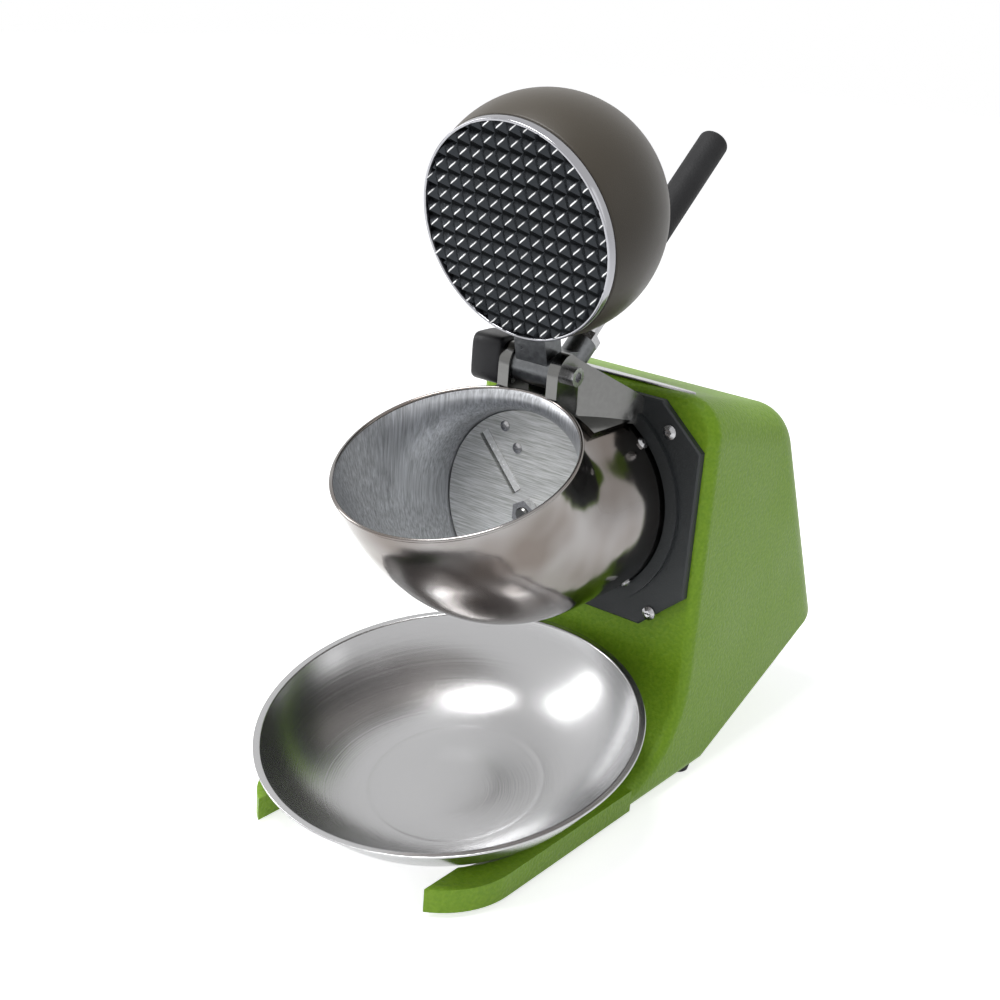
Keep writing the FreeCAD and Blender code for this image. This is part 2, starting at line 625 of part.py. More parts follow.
def front_plate():
    """Octagonal plate on the housing's front, with the ring that the hopper's neck is screwed to."""
    body = new_body("front_plate")
    face = new_sketch(body, "octagon", "XZ", rise="-neck_length")
    inner_x, top_z, low_z = "(plate_half_width - plate_bevel_x)", "(plate_top - plate_bevel_z)", \
        "(plate_bottom - plate_bevel_z)"
    outline(face, [(inner_x, "-plate_bottom"), ("plate_half_width", f"-{low_z}"), ("plate_half_width", top_z),
                   (inner_x, "plate_top"), (f"-{inner_x}", "plate_top"), ("-plate_half_width", top_z),
                   ("-plate_half_width", f"-{low_z}"), (f"-{inner_x}", "-plate_bottom")])
    plate = extrude(body, "Pad", face, "plate_thickness", back=True)
    front = Vector(value(inner_x), value("neck_length"), 0)
    soften(body, "Chamfer", nearest(plate.Shape, "Face", front), "1.2")
    ring = new_sketch(body, "spigot", "YZ")
    outside = f"({NECK_INSIDE} - fit_gap)"
    rectangle(ring, "neck_length - spigot_length", f"{outside} - spigot_wall",
              "neck_length + plate_thickness / 2", outside)
    spin(body, "Revolution", ring)
    collar = new_sketch(body, "collar", "YZ")
    rectangle(collar, "neck_length - collar_height", "neck_radius + touch_gap",
              "neck_length + plate_thickness / 2", "collar_radius")
    spin(body, "Revolution", collar)
    holes = new_sketch(body, "holes", "XZ", rise="-neck_length")
    circle(holes, "shaft_radius + 1.5")
    for x, z in PLATE_SCREWS:
        circle(holes, "plate_screw_radius + touch_gap", x, z)
    for x, z in MOTOR_SCREWS:
        circle(holes, "motor_screw_radius + touch_gap", x, z)
    extrude(body, "Pocket", holes, "plate_thickness * 2")
    tapped = new_sketch(body, "neck_hole", "XY", "0", "neck_screw_reach", "0", "45", Y_AXIS)
    circle(tapped, "neck_screw_radius + fit_gap")
    drill = extrude(body, "Pocket", tapped, "neck_radius + 10", back=True)
    around(body, drill, "Y", "4")
    in_head(body)
    nodes["front_plate"] = body


def hopper_form(label, grow="0", beyond=None):
    """Solid form of the hopper: a straight neck and an elbow that opens towards its round mouth, with every
    radius larger by grow, and both ends longer by beyond."""
    body = new_body(label)
    sections = []
    for part in (0, 0.25, 0.5, 0.75, 1):
        section = new_sketch(body, "section", "XZ", "0", "elbow_radius", "0", f"(rim_tilt - 90) * {part}", X_AXIS)
        circle(section, f"neck_radius + (mouth_radius - neck_radius) * {part} ^ 3 + {grow}", "0", "-elbow_radius")
        sections.append(section)
    elbow = body.newObject("PartDesign::AdditiveLoft", "AdditiveLoft")
    elbow.Profile = sections[0]
    elbow.Sections = sections[1:]
    doc.recompute()
    extrude(body, "Pad", sections[0], f"neck_length + {beyond or 0}", back=True)
    if beyond:
        extrude(body, "Pad", sections[-1], beyond)
    return body


def rolled_lip(body, grow="0"):
    """Bead along the hopper's rim."""
    lip = new_sketch(body, "rolled_lip", "YZ", "-elbow_radius * cos(rim_tilt)",
                     "elbow_radius * (1 - sin(rim_tilt))", turn="rim_tilt")
    circle(lip, f"rim_bead + {grow}", "mouth_radius - hopper_wall / 2")
    spin(body, "Revolution", lip, "V_Axis")


def hopper():
    """Elbow of steel sheet: slanting round mouth with a rolled rim, and a neck back to the front plate."""
    body = hopper_form("hopper")
    cut_out(body, hopper_form("hopper_inside", "-hopper_wall", "2"))
    rolled_lip(body)
    chute = new_sketch(body, "chute", "XY")
    rectangle(chute, "-chute_half_width", "chute_front", "chute_half_width", "chute_back")
    extrude(body, "Pocket", chute, "neck_radius + 10")
    hole = new_sketch(body, "neck_hole", "XY", "0", "neck_screw_reach", "0", "45", Y_AXIS)
    circle(hole, "neck_screw_radius + fit_gap")
    drill = extrude(body, "Pocket", hole, "neck_radius + 10", back=True)
    around(body, drill, "Y", "4")
    in_head(body)
    nodes["hopper"] = body


def front_plate_screws():
    screws = []
    for x, z in PLATE_SCREWS:
        item = screw("plate_screw", "plate_screw_radius", "plate_thickness + 6", "plate_screw_head", "3")
        place(item, x, "disc_setback + neck_length", f"axis_height + {z}", X_AXIS, "90")
        screws.append(item)
    group("front_plate_screws", screws)


def hopper_screws():
    screws = []
    for turn in range(45, 405, 90):
        item = screw("hopper_screw", "neck_screw_radius", "hopper_wall + spigot_wall", "neck_screw_head", "2.2")
        place(item, f"neck_radius * sin({turn})", "disc_setback + neck_screw_reach",
              f"axis_height + neck_radius * cos({turn})", Y_AXIS, str(turn))
        screws.append(item)
    group("hopper_screws", screws)


# ---- hinge and interlock ---------------------------------------------------------------------------------

def hinge_bracket():
    """Saddle on the hopper's neck with two cheeks that splay from the hinge pin back to the front plate."""
    body = new_body("hinge_bracket")
    saddle = new_sketch(body, "saddle", "YZ")
    rectangle(saddle, "cheek_bend", NECK_INSIDE, "neck_length - collar_height - touch_gap",
              "neck_radius + touch_gap + saddle_thickness")
    band = spin(body, "Revolution", saddle)
    band.Midplane = True
    bind(band, "Angle", "2 * saddle_half_angle")
    nose, bend = "-cheek_round", "cheek_bend"
    heel_top = "(plate_top - touch_gap)"
    peak = "(pivot_rise + cheek_round)"
    bend_top = f"({peak} - ({peak} - {heel_top}) * cheek_bend / neck_length)"
    cheek = new_sketch(body, "cheek", "YZ", rise=CHEEK_INSIDE)
    outline(cheek, [(nose, "pivot_rise"), ("0", peak), (bend, bend_top),
                    (bend, "cheek_low - 16"), (nose, "cheek_low")], arcs={0: "<cheek_round"})
    plate = extrude(body, "Pad", cheek, "cheek_thickness")
    near = new_sketch(body, "splay_start", "XZ", rise="-cheek_bend")
    rectangle(near, CHEEK_INSIDE, "cheek_low - 16", CHEEK_OUTSIDE, bend_top)
    far = new_sketch(body, "splay_end", "XZ", rise="-neck_length")
    rectangle(far, "cheek_foot_x - cheek_thickness / 2", "cheek_low - 26", "cheek_foot_x + cheek_thickness / 2",
              heel_top)
    splay = body.newObject("PartDesign::AdditiveLoft", "AdditiveLoft")
    splay.Profile = near
    splay.Sections = [far]
    splay.Ruled = True
    doc.recompute()
    mirrored = body.newObject("PartDesign::Mirrored", "Mirrored")
    mirrored.Originals = [plate, splay]
    mirrored.MirrorPlane = (next(f for f in body.Origin.OriginFeatures if f.Role == "YZ_Plane"), [""])
    body.Tip = mirrored
    doc.recompute()
    room = hopper_form("hopper_room", "touch_gap")
    rolled_lip(room, "touch_gap")
    collar = new_sketch(room, "collar_room", "YZ")
    rectangle(collar, "neck_length - collar_height - touch_gap", "0", "neck_length + 1", "collar_radius + touch_gap")
    spin(room, "Revolution", collar)
    cut_out(body, room)
    bore = new_sketch(body, "pin_bore", "YZ")
    circle(bore, "pin_radius + fit_gap", "0", "pivot_rise")
    extrude(body, "Pocket", bore, f"2 * {CHEEK_OUTSIDE} + 1", both=True)
    side = new_sketch(body, "interlock_holes", "YZ", rise=f"-{CHEEK_OUTSIDE} - cheek_thickness")
    circle(side, "plunger_radius + fit_gap", "plunger_back", "pivot_rise")
    for y, z in SAFETY_SCREWS:
        circle(side, "blade_screw_radius + fit_gap", y, z)
    extrude(body, "Pocket", side, "cheek_thickness * 2 + 1", back=True)
    in_head(body)
    nodes["hinge_bracket"] = body


def at_pin(item, axis=None, angle="0"):
    place(item, "0", "disc_setback", "axis_height + pivot_rise", axis, angle)


def hinge_bolt():
    body = new_body("hinge_bolt")
    profile = new_sketch(body, "profile", "XY")
    end = f"(-{CHEEK_OUTSIDE} - nut_height - touch_gap)"
    outline(profile, [(end, "0"), (CHEEK_OUTSIDE + " + pin_head_length", "0"),
                      (CHEEK_OUTSIDE + " + pin_head_length", "pin_head_radius"),
                      (CHEEK_OUTSIDE, "pin_head_radius"), (CHEEK_OUTSIDE, "pin_radius"), (end, "pin_radius")])
    spin(body, "Revolution", profile)
    socket = new_sketch(body, "socket", "YZ", rise=f"{CHEEK_OUTSIDE} + pin_head_length")
    hexagon(socket, "pin_head_radius")
    extrude(body, "Pocket", socket, "pin_head_length / 2")
    at_pin(body)
    nodes["hinge_bolt"] = body


def nut(label, across, height, bore):
    """Hexagonal nut along Z, from 0 up."""
    body = new_body(label)
    flats = new_sketch(body, "flats", "XY")
    hexagon(flats, across)
    extrude(body, "Pad", flats, height)
    hole = new_sketch(body, "bore", "XY")
    circle(hole, f"{bore} + fit_gap")
    extrude(body, "Pocket", hole, height, back=True)
    nodes[label] = body
    return body


def hinge_nut():
    body = nut("hinge_nut", "nut_width", "nut_height", "pin_radius")
    place(body, f"-{CHEEK_OUTSIDE}", "disc_setback", "axis_height + pivot_rise", Y_AXIS, "-90")


SAFETY_SCREWS = [("0", "pivot_rise + cheek_round * 0.66"),
                 ("-cheek_round * 0.6", "pivot_rise - cheek_round * 0.75")]


def safety_switch():
    """Closed box of the interlock, on two bosses off the cheek, with the plunger's bore."""
    body = new_body("safety_switch")
    centre_y, centre_z = "(-safety_lead)", "(pivot_rise + safety_rise)"
    box = new_sketch(body, "box", "YZ", rise=f"-{SAFETY_INSIDE}")
    rectangle(box, f"{centre_y} - safety_depth / 2", f"{centre_z} - safety_height / 2",
              f"{centre_y} + safety_depth / 2", f"{centre_z} + safety_height / 2")
    block = extrude(body, "Pad", box, "safety_width", back=True)
    face = Vector(-value(f"{SAFETY_INSIDE} + safety_width"), value(centre_y), value(centre_z))
    soften(body, "Fillet", nearest(block.Shape, "Face", face), "3")
    bosses = new_sketch(body, "bosses", "YZ", rise=f"-{SAFETY_INSIDE}")
    for y, z in SAFETY_SCREWS:
        circle(bosses, "blade_screw_radius * 1.7", y, z)
    extrude(body, "Pad", bosses, "safety_standoff")
    bores = new_sketch(body, "bores", "YZ", rise=f"-{CHEEK_OUTSIDE}")
    for y, z in SAFETY_SCREWS:
        circle(bores, "blade_screw_radius + fit_gap", y, z)
    extrude(body, "Pocket", bores, "safety_standoff + safety_width + 1")
    guide = new_sketch(body, "plunger_bore", "YZ", rise=f"-{SAFETY_INSIDE}")
    circle(guide, "plunger_radius + fit_gap", "plunger_back", "pivot_rise")
    extrude(body, "Pocket", guide, "safety_width * 0.75")
    in_head(body)
    nodes["safety_switch"] = body


def safety_plunger():
    body = new_body("safety_plunger")
    profile = new_sketch(body, "profile", "XZ")
    length = f"({SAFETY_INSIDE} + safety_width * 0.75 - plunger_travel - 1 - {CHEEK_INSIDE})"
    outline(profile, [("0", f"-{length}"), ("plunger_radius", f"-{length}"), ("plunger_radius", "-1"),
                      ("plunger_radius - 1", "0"), ("0", "0")])
    spin(body, "Revolution", profile, "V_Axis")
    place(body, f"-{CHEEK_INSIDE}", "disc_setback + plunger_back", "axis_height + pivot_rise",
          Y_AXIS, "90")
    nodes["safety_plunger"] = body


def safety_screws():
    screws = []
    for y, z in SAFETY_SCREWS:
        item = screw("safety_screw", "blade_screw_radius", "safety_width + safety_standoff + cheek_thickness",
                     "blade_screw_radius * 1.9", "2")
        place(item, f"-{SAFETY_INSIDE} - safety_width", f"disc_setback + {y}", f"axis_height + {z}",
              Y_AXIS, "-90")
        screws.append(item)
    group("safety_screws", screws)


# ---- lid and lever ---------------------------------------------------------------------------------------

def lid_arm():
    """Cast arm: knuckle on the hinge pin, tongue behind the press plate and socket for the lever."""
    body = new_body("lid_arm")
    side = new_sketch(body, "tongue", "YZ")
    step = "(lid_reach - press_radius + 0.7)"
    outline(side, [(f"{BAND_BACK} + 0.5", "0"), ("7", "0"), ("7", f"{step} + 0.5"), ("4", "60"),
                   ("-3", "arm_reach"), (PRESS_BACK, "arm_reach"), (PRESS_BACK, step),
                   (f"{BAND_BACK} + 0.5", step)])
    extrude(body, "Pad", side, "2 * arm_half_width", both=True)
    hub = new_sketch(body, "knuckle", "YZ")
    circle(hub, "knuckle_radius")
    extrude(body, "Pad", hub, "2 * knuckle_half_width", both=True)
    web = new_sketch(body, "web", "YZ")
    outline(web, [("0", "-knuckle_radius"), ("lever_root_back - socket_depth", "-lever_root_drop * 2.4"),
                  ("lever_root_back + 2", "-lever_root_drop"), ("lever_root_back - 12", "0"),
                  ("0", "knuckle_radius")])
    extrude(body, "Pad", web, "socket_radius * 1.5", both=True)
    tube = new_sketch(body, "lever_socket", "XZ", "0", "-lever_root_drop", "-lever_root_back", "lever_rise", X_AXIS)
    circle(tube, "socket_radius")
    pad = body.newObject("PartDesign::Pad", "Pad")
    pad.Profile = tube
    pad.SideType = "Two sides"
    bind(pad, "Length", "socket_depth + 4")
    bind(pad, "Length2", SOCKET_END)
    doc.recompute()
    bore = new_sketch(body, "lever_bore", "XZ", "0", "-lever_root_drop", "-lever_root_back", "lever_rise", X_AXIS)
    circle(bore, "lever_radius + fit_gap")
    hole = body.newObject("PartDesign::Pocket", "Pocket")
    hole.Profile = bore
    hole.SideType = "Two sides"
    bind(hole, "Length", "2 * locknut_height")
    bind(hole, "Length2", "socket_depth + touch_gap")
    doc.recompute()
    pin = new_sketch(body, "pin_bore", "YZ")
    circle(pin, "pin_radius + fit_gap")
    extrude(body, "Pocket", pin, "2 * knuckle_half_width + 1", both=True)
    seats = new_sketch(body, "screw_seats", "XZ", rise=f"-{ARM_SEAT}")
    holes = new_sketch(body, "screw_holes", "XZ", rise=f"-{PRESS_BACK} + 1")
    for x, z in ARM_SCREWS:
        circle(seats, "neck_screw_head + touch_gap", x, z)
        circle(holes, "arm_screw_radius + fit_gap", x, z)
    extrude(body, "Pocket", seats, "20")
    extrude(body, "Pocket", holes, "20")
    in_lid(body)
    nodes["lid_arm"] = body


def on_lid(item):
    """Place in the middle of the lid, with Z out of the lid's back and Y back towards the hinge."""
    in_lid(item, z="lid_reach", turn="-90")


def lid_plate():
    """Press plate covered in square pyramids that bite into the ice."""
    body = new_body("lid_plate")
    blank = new_sketch(body, "blank", "XY", rise=SPIKE_TIP)
    circle(blank, "press_radius")
    extrude(body, "Pad", blank, "spike_height + press_thickness")
    half = "((spike_pitch - spike_flat) / 2)"
    first = "(-spike_pitch * spike_rows / 2)"
    for plane, axis in (("XZ", "X"), ("YZ", "Y")):
        groove = new_sketch(body, "groove", plane)
        outline(groove, [(f"{first} - {half}", f"{SPIKE_TIP} - 1"), (f"{first} + {half}", f"{SPIKE_TIP} - 1"),
                         (f"{first} + {half}", SPIKE_TIP), (first, SPIKE_BASE), (f"{first} - {half}", SPIKE_TIP)])
        cut = extrude(body, "Pocket", groove, "2 * press_radius + 2", both=True)
        along(body, cut, axis, "spike_pitch * spike_rows", "spike_rows + 1")
    taps = new_sketch(body, "taps", "XY", rise=PRESS_BACK)
    for x, z in ARM_SCREWS:
        circle(taps, "arm_screw_radius + fit_gap", x, f"lid_reach - ({z})")
    extrude(body, "Pocket", taps, "press_thickness - 0.3")
    on_lid(body)
    nodes["lid_plate"] = body


def lid_band():
    """Polished ring that holds the press plate and carries the dome."""
    body = new_body("lid_band")
    ring = new_sketch(body, "ring", "XZ")
    inside = "(press_radius + fit_gap)"
    dome_edge = f"sqrt(dome_radius ^ 2 - (dome_centre - band_depth) ^ 2)"
    outline(ring, [(inside, "-lid_drop"), ("band_front_radius - 1", "-lid_drop"),
                   ("band_front_radius", "1 - lid_drop"), (dome_edge, BAND_BACK), (inside, BAND_BACK)])
    spin(body, "Revolution", ring, "V_Axis")
    on_lid(body)
    nodes["lid_band"] = body


def lid_dome():
    """Hollow dome on the lid's back, open towards the hinge for the arm."""
    body = new_body("lid_dome")
    shell = new_sketch(body, "shell", "XZ")
    outer = "sqrt(dome_radius ^ 2 - (dome_centre - band_depth) ^ 2)"
    inner = "sqrt((dome_radius - dome_wall) ^ 2 - (dome_centre - band_depth) ^ 2)"
    outline(shell, [(outer, BAND_BACK), ("0", f"{DOME_MIDDLE} + dome_radius"),
                    ("0", f"{DOME_MIDDLE} + dome_radius - dome_wall"), (inner, BAND_BACK)],
            arcs={0: "dome_radius", 2: "<dome_radius - dome_wall"})
    spin(body, "Revolution", shell, "V_Axis")
    slot = new_sketch(body, "arm_slot", "XY", rise=BAND_BACK)
    rectangle(slot, "-arm_half_width - 1.5", "lid_reach * 0.55", "arm_half_width + 1.5", "lid_reach")
    extrude(body, "Pocket", slot, f"9 - {BAND_BACK}", back=True)
    on_lid(body)
    nodes["lid_dome"] = body


ARM_SEAT = f"({PRESS_BACK} + 3.5)"


def arm_screws():
    screws = []
    for x, z in ARM_SCREWS:
        item = screw("arm_screw", "arm_screw_radius", f"{ARM_SEAT} - {PRESS_BACK} + press_thickness - 0.6", "neck_screw_head", "2.2")
        in_lid(item, x, ARM_SEAT, z, "-90")
        screws.append(item)
    group("arm_screws", screws)


def on_lever(item, along_rod="0"):
    """Place in the lever socket's mouth, with Z along the lever."""
    in_lid(item, "0", f"lever_root_back + ({along_rod}) * cos(lever_rise)",
           f"-lever_root_drop + ({along_rod}) * sin(lever_rise)", "lever_rise - 90")


def lever_rod():
    body = new_body("lever_rod")
    profile = new_sketch(body, "profile", "XZ")
    outline(profile, [("0", "-socket_depth"), ("lever_radius - 1", "-socket_depth"),
                      ("lever_radius", "1 - socket_depth"), ("lever_radius", "lever_length - 1"),
                      ("lever_radius - 1", "lever_length"), ("0", "lever_length")])
    spin(body, "Revolution", profile, "V_Axis")
    on_lever(body)
    nodes["lever_rod"] = body


def lever_locknut():
    body = nut("lever_locknut", "locknut_width", "locknut_height", "lever_radius")
    on_lever(body, SOCKET_END)


def lever_grip():
    """Rubber sleeve with a domed end and a slight swell at its mouth."""
    body = new_body("lever_grip")
    profile = new_sketch(body, "profile", "XZ")
    bore, end = "(lever_radius + fit_gap)", "(grip_start + grip_length)"
    dome = "grip_radius * 0.7"
    outline(profile, [(bore, "grip_start"), ("grip_radius - 1", "grip_start"),
                      ("grip_radius", "grip_start + 1"), ("grip_radius", f"{end} - {dome}"), ("0", end),
                      ("0", "lever_length + fit_gap"), (bore, "lever_length + fit_gap")],
            arcs={3: f"(grip_radius ^ 2 + ({dome}) ^ 2) / (2 * {dome})"})
    spin(body, "Revolution", profile, "V_Axis")
    on_lever(body)
    nodes["lever_grip"] = body


# ---- blade disc --------------------------------------------------------------------------------------------

def blade_disc():
    """Disc with a hub behind it and one slot ahead of each blade."""
    body = new_body("blade_disc")
    profile = new_sketch(body, "profile", "YZ")
    nose, seat = "(shaft_nose_radius + fit_gap)", "(shaft_radius + fit_gap)"
    outline(profile, [("0", nose), ("disc_thickness", nose), ("disc_thickness", seat), (HUB_END, seat),
                      (HUB_END, "hub_radius"), ("disc_thickness", "hub_radius"),
                      ("disc_thickness", "disc_radius"), ("0", "disc_radius")])
    spin(body, "Revolution", profile)
    slot = new_sketch(body, "slot", "XZ", turn="blade_angle")
    rectangle(slot, "slot_inner", "-slot_behind", "slot_outer", "slot_ahead")
    for u, w in BLADE_SCREWS:
        circle(slot, "blade_screw_radius + fit_gap", u, w)
    cut = extrude(body, "Pocket", slot, "disc_thickness")
    around(body, cut, "Y", "blade_count")
    in_head(body)
    nodes["blade_disc"] = body


def blades():
    """Three steel blades behind the disc, each with its edge bent forward through its slot."""
    items = []
    for turn in BLADE_TURNS:
        body = new_body("blade")
        section = new_sketch(body, "section", "YZ", rise="slot_inner + touch_gap")
        outline(section, [("disc_thickness", "-slot_behind - blade_width + 2"),
                          ("disc_thickness + blade_thickness", "-slot_behind - blade_width + 2"),
                          ("disc_thickness + blade_thickness", "-0.5"), ("-blade_proud", "1.5"),
                          ("-blade_proud / 2", "touch_gap - slot_behind"),
                          ("disc_thickness", "touch_gap - slot_behind")])
        extrude(body, "Pad", section, "slot_outer - slot_inner - 2 * touch_gap")
        holes = new_sketch(body, "holes", "XZ")
        for u, w in BLADE_SCREWS:
            circle(holes, "blade_screw_radius + fit_gap", u, w)
        extrude(body, "Pocket", holes, "disc_thickness + blade_thickness")
        in_head(body, Y_AXIS, f"-({turn})")
        items.append(body)
    group("blades", items)


BLADE_TURNS = [f"blade_angle - 360 / blade_count * {number}" for number in range(SIZES["blade_count"][0])]


def blade_screws():
    screws = []
    for turn in BLADE_TURNS:
        for u, w in BLADE_SCREWS:
            item = screw("blade_screw", "blade_screw_radius", "disc_thickness + blade_thickness",
                         "blade_screw_radius * 1.8", "1.6")
            place(item, f"{u} * cos({turn}) - ({w}) * sin({turn})", "disc_setback",
                  f"axis_height + {u} * sin({turn}) + ({w}) * cos({turn})", X_AXIS, "90")
            screws.append(item)
    group("blade_screws", screws)


def disc_nut():
    body = nut("disc_nut", "disc_nut_width", "disc_nut_height", "shaft_nose_radius")
    in_head(body, X_AXIS, "90")


# ---- drive -------------------------------------------------------------------------------------------------

def turned(label, corners):
    """Piece turned about the shaft, from corners given as (reach behind the disc's face, radius)."""
    body = new_body(label)
    profile = new_sketch(body, "profile", "YZ")
    outline(profile, corners)
    spin(body, "Revolution", profile)
    in_head(body)
    nodes[label] = body
    return body


def drive_shaft():
    turned("drive_shaft", [("-disc_nut_height - 2", "0"), ("-disc_nut_height - 2", "shaft_nose_radius - 1"),
                           ("-disc_nut_height - 1", "shaft_nose_radius"),
                           ("disc_thickness", "shaft_nose_radius"), ("disc_thickness", "shaft_radius"),
                           ("shaft_end", "shaft_radius"), ("shaft_end", "0")])


def bearing(label, start):
    """Ball bearing drawn as one ring with a groove in each face between its races."""
    end = f"{start} + bearing_width"
    inner, outer = "(shaft_radius + 3)", "(bearing_radius - 3)"
    turned(label, [(start, "shaft_radius + fit_gap"), (start, inner), (f"{start} + 1", inner),
                   (f"{start} + 1", outer), (start, outer), (start, "bearing_radius"),
                   (end, "bearing_radius"), (end, outer), (f"{end} - 1", outer), (f"{end} - 1", inner),
                   (end, inner), (end, "shaft_radius + fit_gap")])


def motor_caps():
    """End shields of the motor: a web, an outer ring and a hub that holds the bearing."""
    ring, hub, seat, hole = "(motor_radius - 5)", "(bearing_radius + 6)", "(bearing_radius + fit_gap)", \
        "(shaft_radius + 1.5)"
    bearing_end = f"({FRONT_BEARING} + bearing_width + touch_gap)"
    front = turned("motor_front_cap", [(FRONT, hole), (FRONT, "motor_radius"), (STATOR_START, "motor_radius"),
                                       (STATOR_START, ring), (f"{FRONT} + 6", ring), (f"{FRONT} + 6", hub),
                                       (bearing_end, hub), (bearing_end, seat), (FRONT_BEARING, seat),
                                       (FRONT_BEARING, hole)])
    taps = new_sketch(front, "taps", "XZ", rise=f"-{FRONT}")
    for x, z in MOTOR_SCREWS:
        circle(taps, "motor_screw_radius + fit_gap", x, z)
    extrude(front, "Pocket", taps, "7")
    back = f"({STATOR_END} + motor_rear_length)"
    turned("motor_rear_cap", [(STATOR_END, ring), (f"{back} - 5", ring), (f"{back} - 5", hub),
                              (f"{STATOR_END} + 1", hub), (f"{STATOR_END} + 1", seat),
                              (REAR_BEARING_END, seat), (REAR_BEARING_END, hole), (back, hole),
                              (back, "motor_radius"), (STATOR_END, "motor_radius")])


REAR_BEARING_END = f"({STATOR_END} + 1.3 + bearing_width)"


def motor_core():
    """Stator ring and the rotor on the shaft."""
    turned("motor_stator", [(STATOR_START, "motor_bore_radius"), (STATOR_START, "motor_radius"),
                            (STATOR_END, "motor_radius"), (STATOR_END, "motor_bore_radius")])
    rotor_radius = "(motor_bore_radius - air_gap)"
    ends = (f"({STATOR_START} + 4)", f"({STATOR_END} - 4)")
    turned("motor_rotor", [(ends[0], "shaft_radius + fit_gap"), (ends[0], rotor_radius),
                           (ends[1], rotor_radius), (ends[1], "shaft_radius + fit_gap")])


def cooling_fan():
    start = f"({STATOR_END} + motor_rear_length + 3)"
    body = turned("cooling_fan", [(start, "shaft_radius + fit_gap"), (start, "fan_radius"),
                                  (f"{start} + 1.5", "fan_radius"), (f"{start} + 1.5", "shaft_radius + 4"),
                                  (f"{start} + fan_width", "shaft_radius + 4"),
                                  (f"{start} + fan_width", "shaft_radius + fit_gap")])
    blade = new_sketch(body, "blade", "XZ", rise=f"-({start} + 1)")
    rectangle(blade, "shaft_radius + 3", "-0.8", "fan_radius - 1", "0.8")
    vane = extrude(body, "Pad", blade, "fan_width - 1", back=True)
    around(body, vane, "Y", "fan_blades")


def motor_screws():
    screws = []
    for x, z in MOTOR_SCREWS:
        item = screw("motor_screw", "motor_screw_radius", "plate_thickness + 5.5", "plate_screw_head", "3")
        place(item, x, "disc_setback + neck_length", f"axis_height + {z}", X_AXIS, "90")
        screws.append(item)
    group("motor_screws", screws)


# ---- bowl, switch and cord entry ---------------------------------------------------------------------------

def bowl():
    """Spun steel bowl that leans in its seat on the base."""
    body = new_body("bowl")
    shell = new_sketch(body, "shell", "XZ")
    outline(shell, bowl_outside("0") + [("bowl_radius", "0"), ("bowl_radius - bowl_flange", "0"),
                                        ("bowl_foot_radius", "bowl_wall - bowl_depth"),
                                        ("0", "bowl_wall - bowl_depth")],
            arcs={1: "bowl_side_radius", 5: "<bowl_side_radius"})
    spin(body, "Revolution", shell, "V_Axis")
    place(body, "0", "disc_setback - bowl_lead", "bowl_rise", X_AXIS, "bowl_tilt")
    nodes["bowl"] = body


def power_switch():
    """Bezel and body of the rocker switch in the housing's side."""
    body = new_body("power_switch")
    bezel = new_sketch(body, "bezel", "YZ", "switch_reach", "switch_rise", "-body_half_width")
    rectangle(bezel, "-switch_width / 2", "-switch_height / 2", "switch_width / 2", "switch_height / 2")
    extrude(body, "Pad", bezel, "bezel_thickness", back=True)
    case = new_sketch(body, "case", "YZ", "switch_reach", "switch_rise", "-body_half_width")
    wide, tall = "(switch_width / 2 - switch_inset)", "(switch_height / 2 - switch_inset)"
    rectangle(case, f"-{wide}", f"-{tall}", wide, tall)
    extrude(body, "Pad", case, "switch_depth")
    well = new_sketch(body, "well", "YZ", "switch_reach", "switch_rise", "-body_half_width - bezel_thickness")
    rectangle(well, "-rocker_width / 2 - touch_gap", "-rocker_height / 2 - 1.3",
              "rocker_width / 2 + touch_gap", "rocker_height / 2 + 1.3")
    extrude(body, "Pocket", well, "rocker_height / 2", back=True)
    pivots = new_sketch(body, "pivots", "XZ", "3 - body_half_width", "switch_rise", "-switch_reach")
    circle(pivots, "rocker_pin + fit_gap")
    extrude(body, "Pocket", pivots, "rocker_width + 2 * rocker_pin_length + touch_gap", both=True)
    in_head(body)
    nodes["power_switch"] = body


def power_rocker():
    """Rocker with a dished front, pivoting about its middle."""
    body = new_body("power_rocker")
    side = new_sketch(body, "side", "XZ")
    face, half = "(-rocker_width * 0.4)", "(rocker_height / 2)"
    outline(side, [(face, "0"), (f"{face} - rocker_proud * 0.6", half), ("1.5", half), ("2.5", "0"),
                   ("1.5", f"-{half}"), (f"{face} - rocker_proud * 0.6", f"-{half}")])
    extrude(body, "Pad", side, "rocker_width", both=True)
    pivots = new_sketch(body, "pivots", "XZ")
    circle(pivots, "rocker_pin")
    extrude(body, "Pad", pivots, "rocker_width + 2 * rocker_pin_length", both=True)
    place(body, "3 - body_half_width", "disc_setback + switch_reach", "axis_height + switch_rise",
          Y_AXIS, "rocker_slant / 2")
    nodes["power_rocker"] = body


def cord_gland():
    """Cord entry through the back, with a collar on each side of the wall."""
    body = new_body("cord_gland")
    profile = new_sketch(body, "profile", "XZ")
    stem = "(gland_radius - 3)"
    inner = "(-body_wall - touch_gap)"
    outline(profile, [("gland_bore", f"{inner} - 3"), ("gland_radius", f"{inner} - 3"), ("gland_radius", inner),
                      (stem, inner), (stem, "0"), ("gland_radius", "0"), ("gland_radius", "2.5"),
                      ("gland_radius - 2", "3.5"), ("gland_bore + 1.5", "gland_length"),
                      ("gland_bore", "gland_length")])
    spin(body, "Revolution", profile, "V_Axis")
    place(body, "0", f"disc_setback + {GLAND_Y}", "axis_height - gland_drop", X_AXIS,
          f"atan({BACK_SLOPE}) - 90 deg")
    nodes["cord_gland"] = body


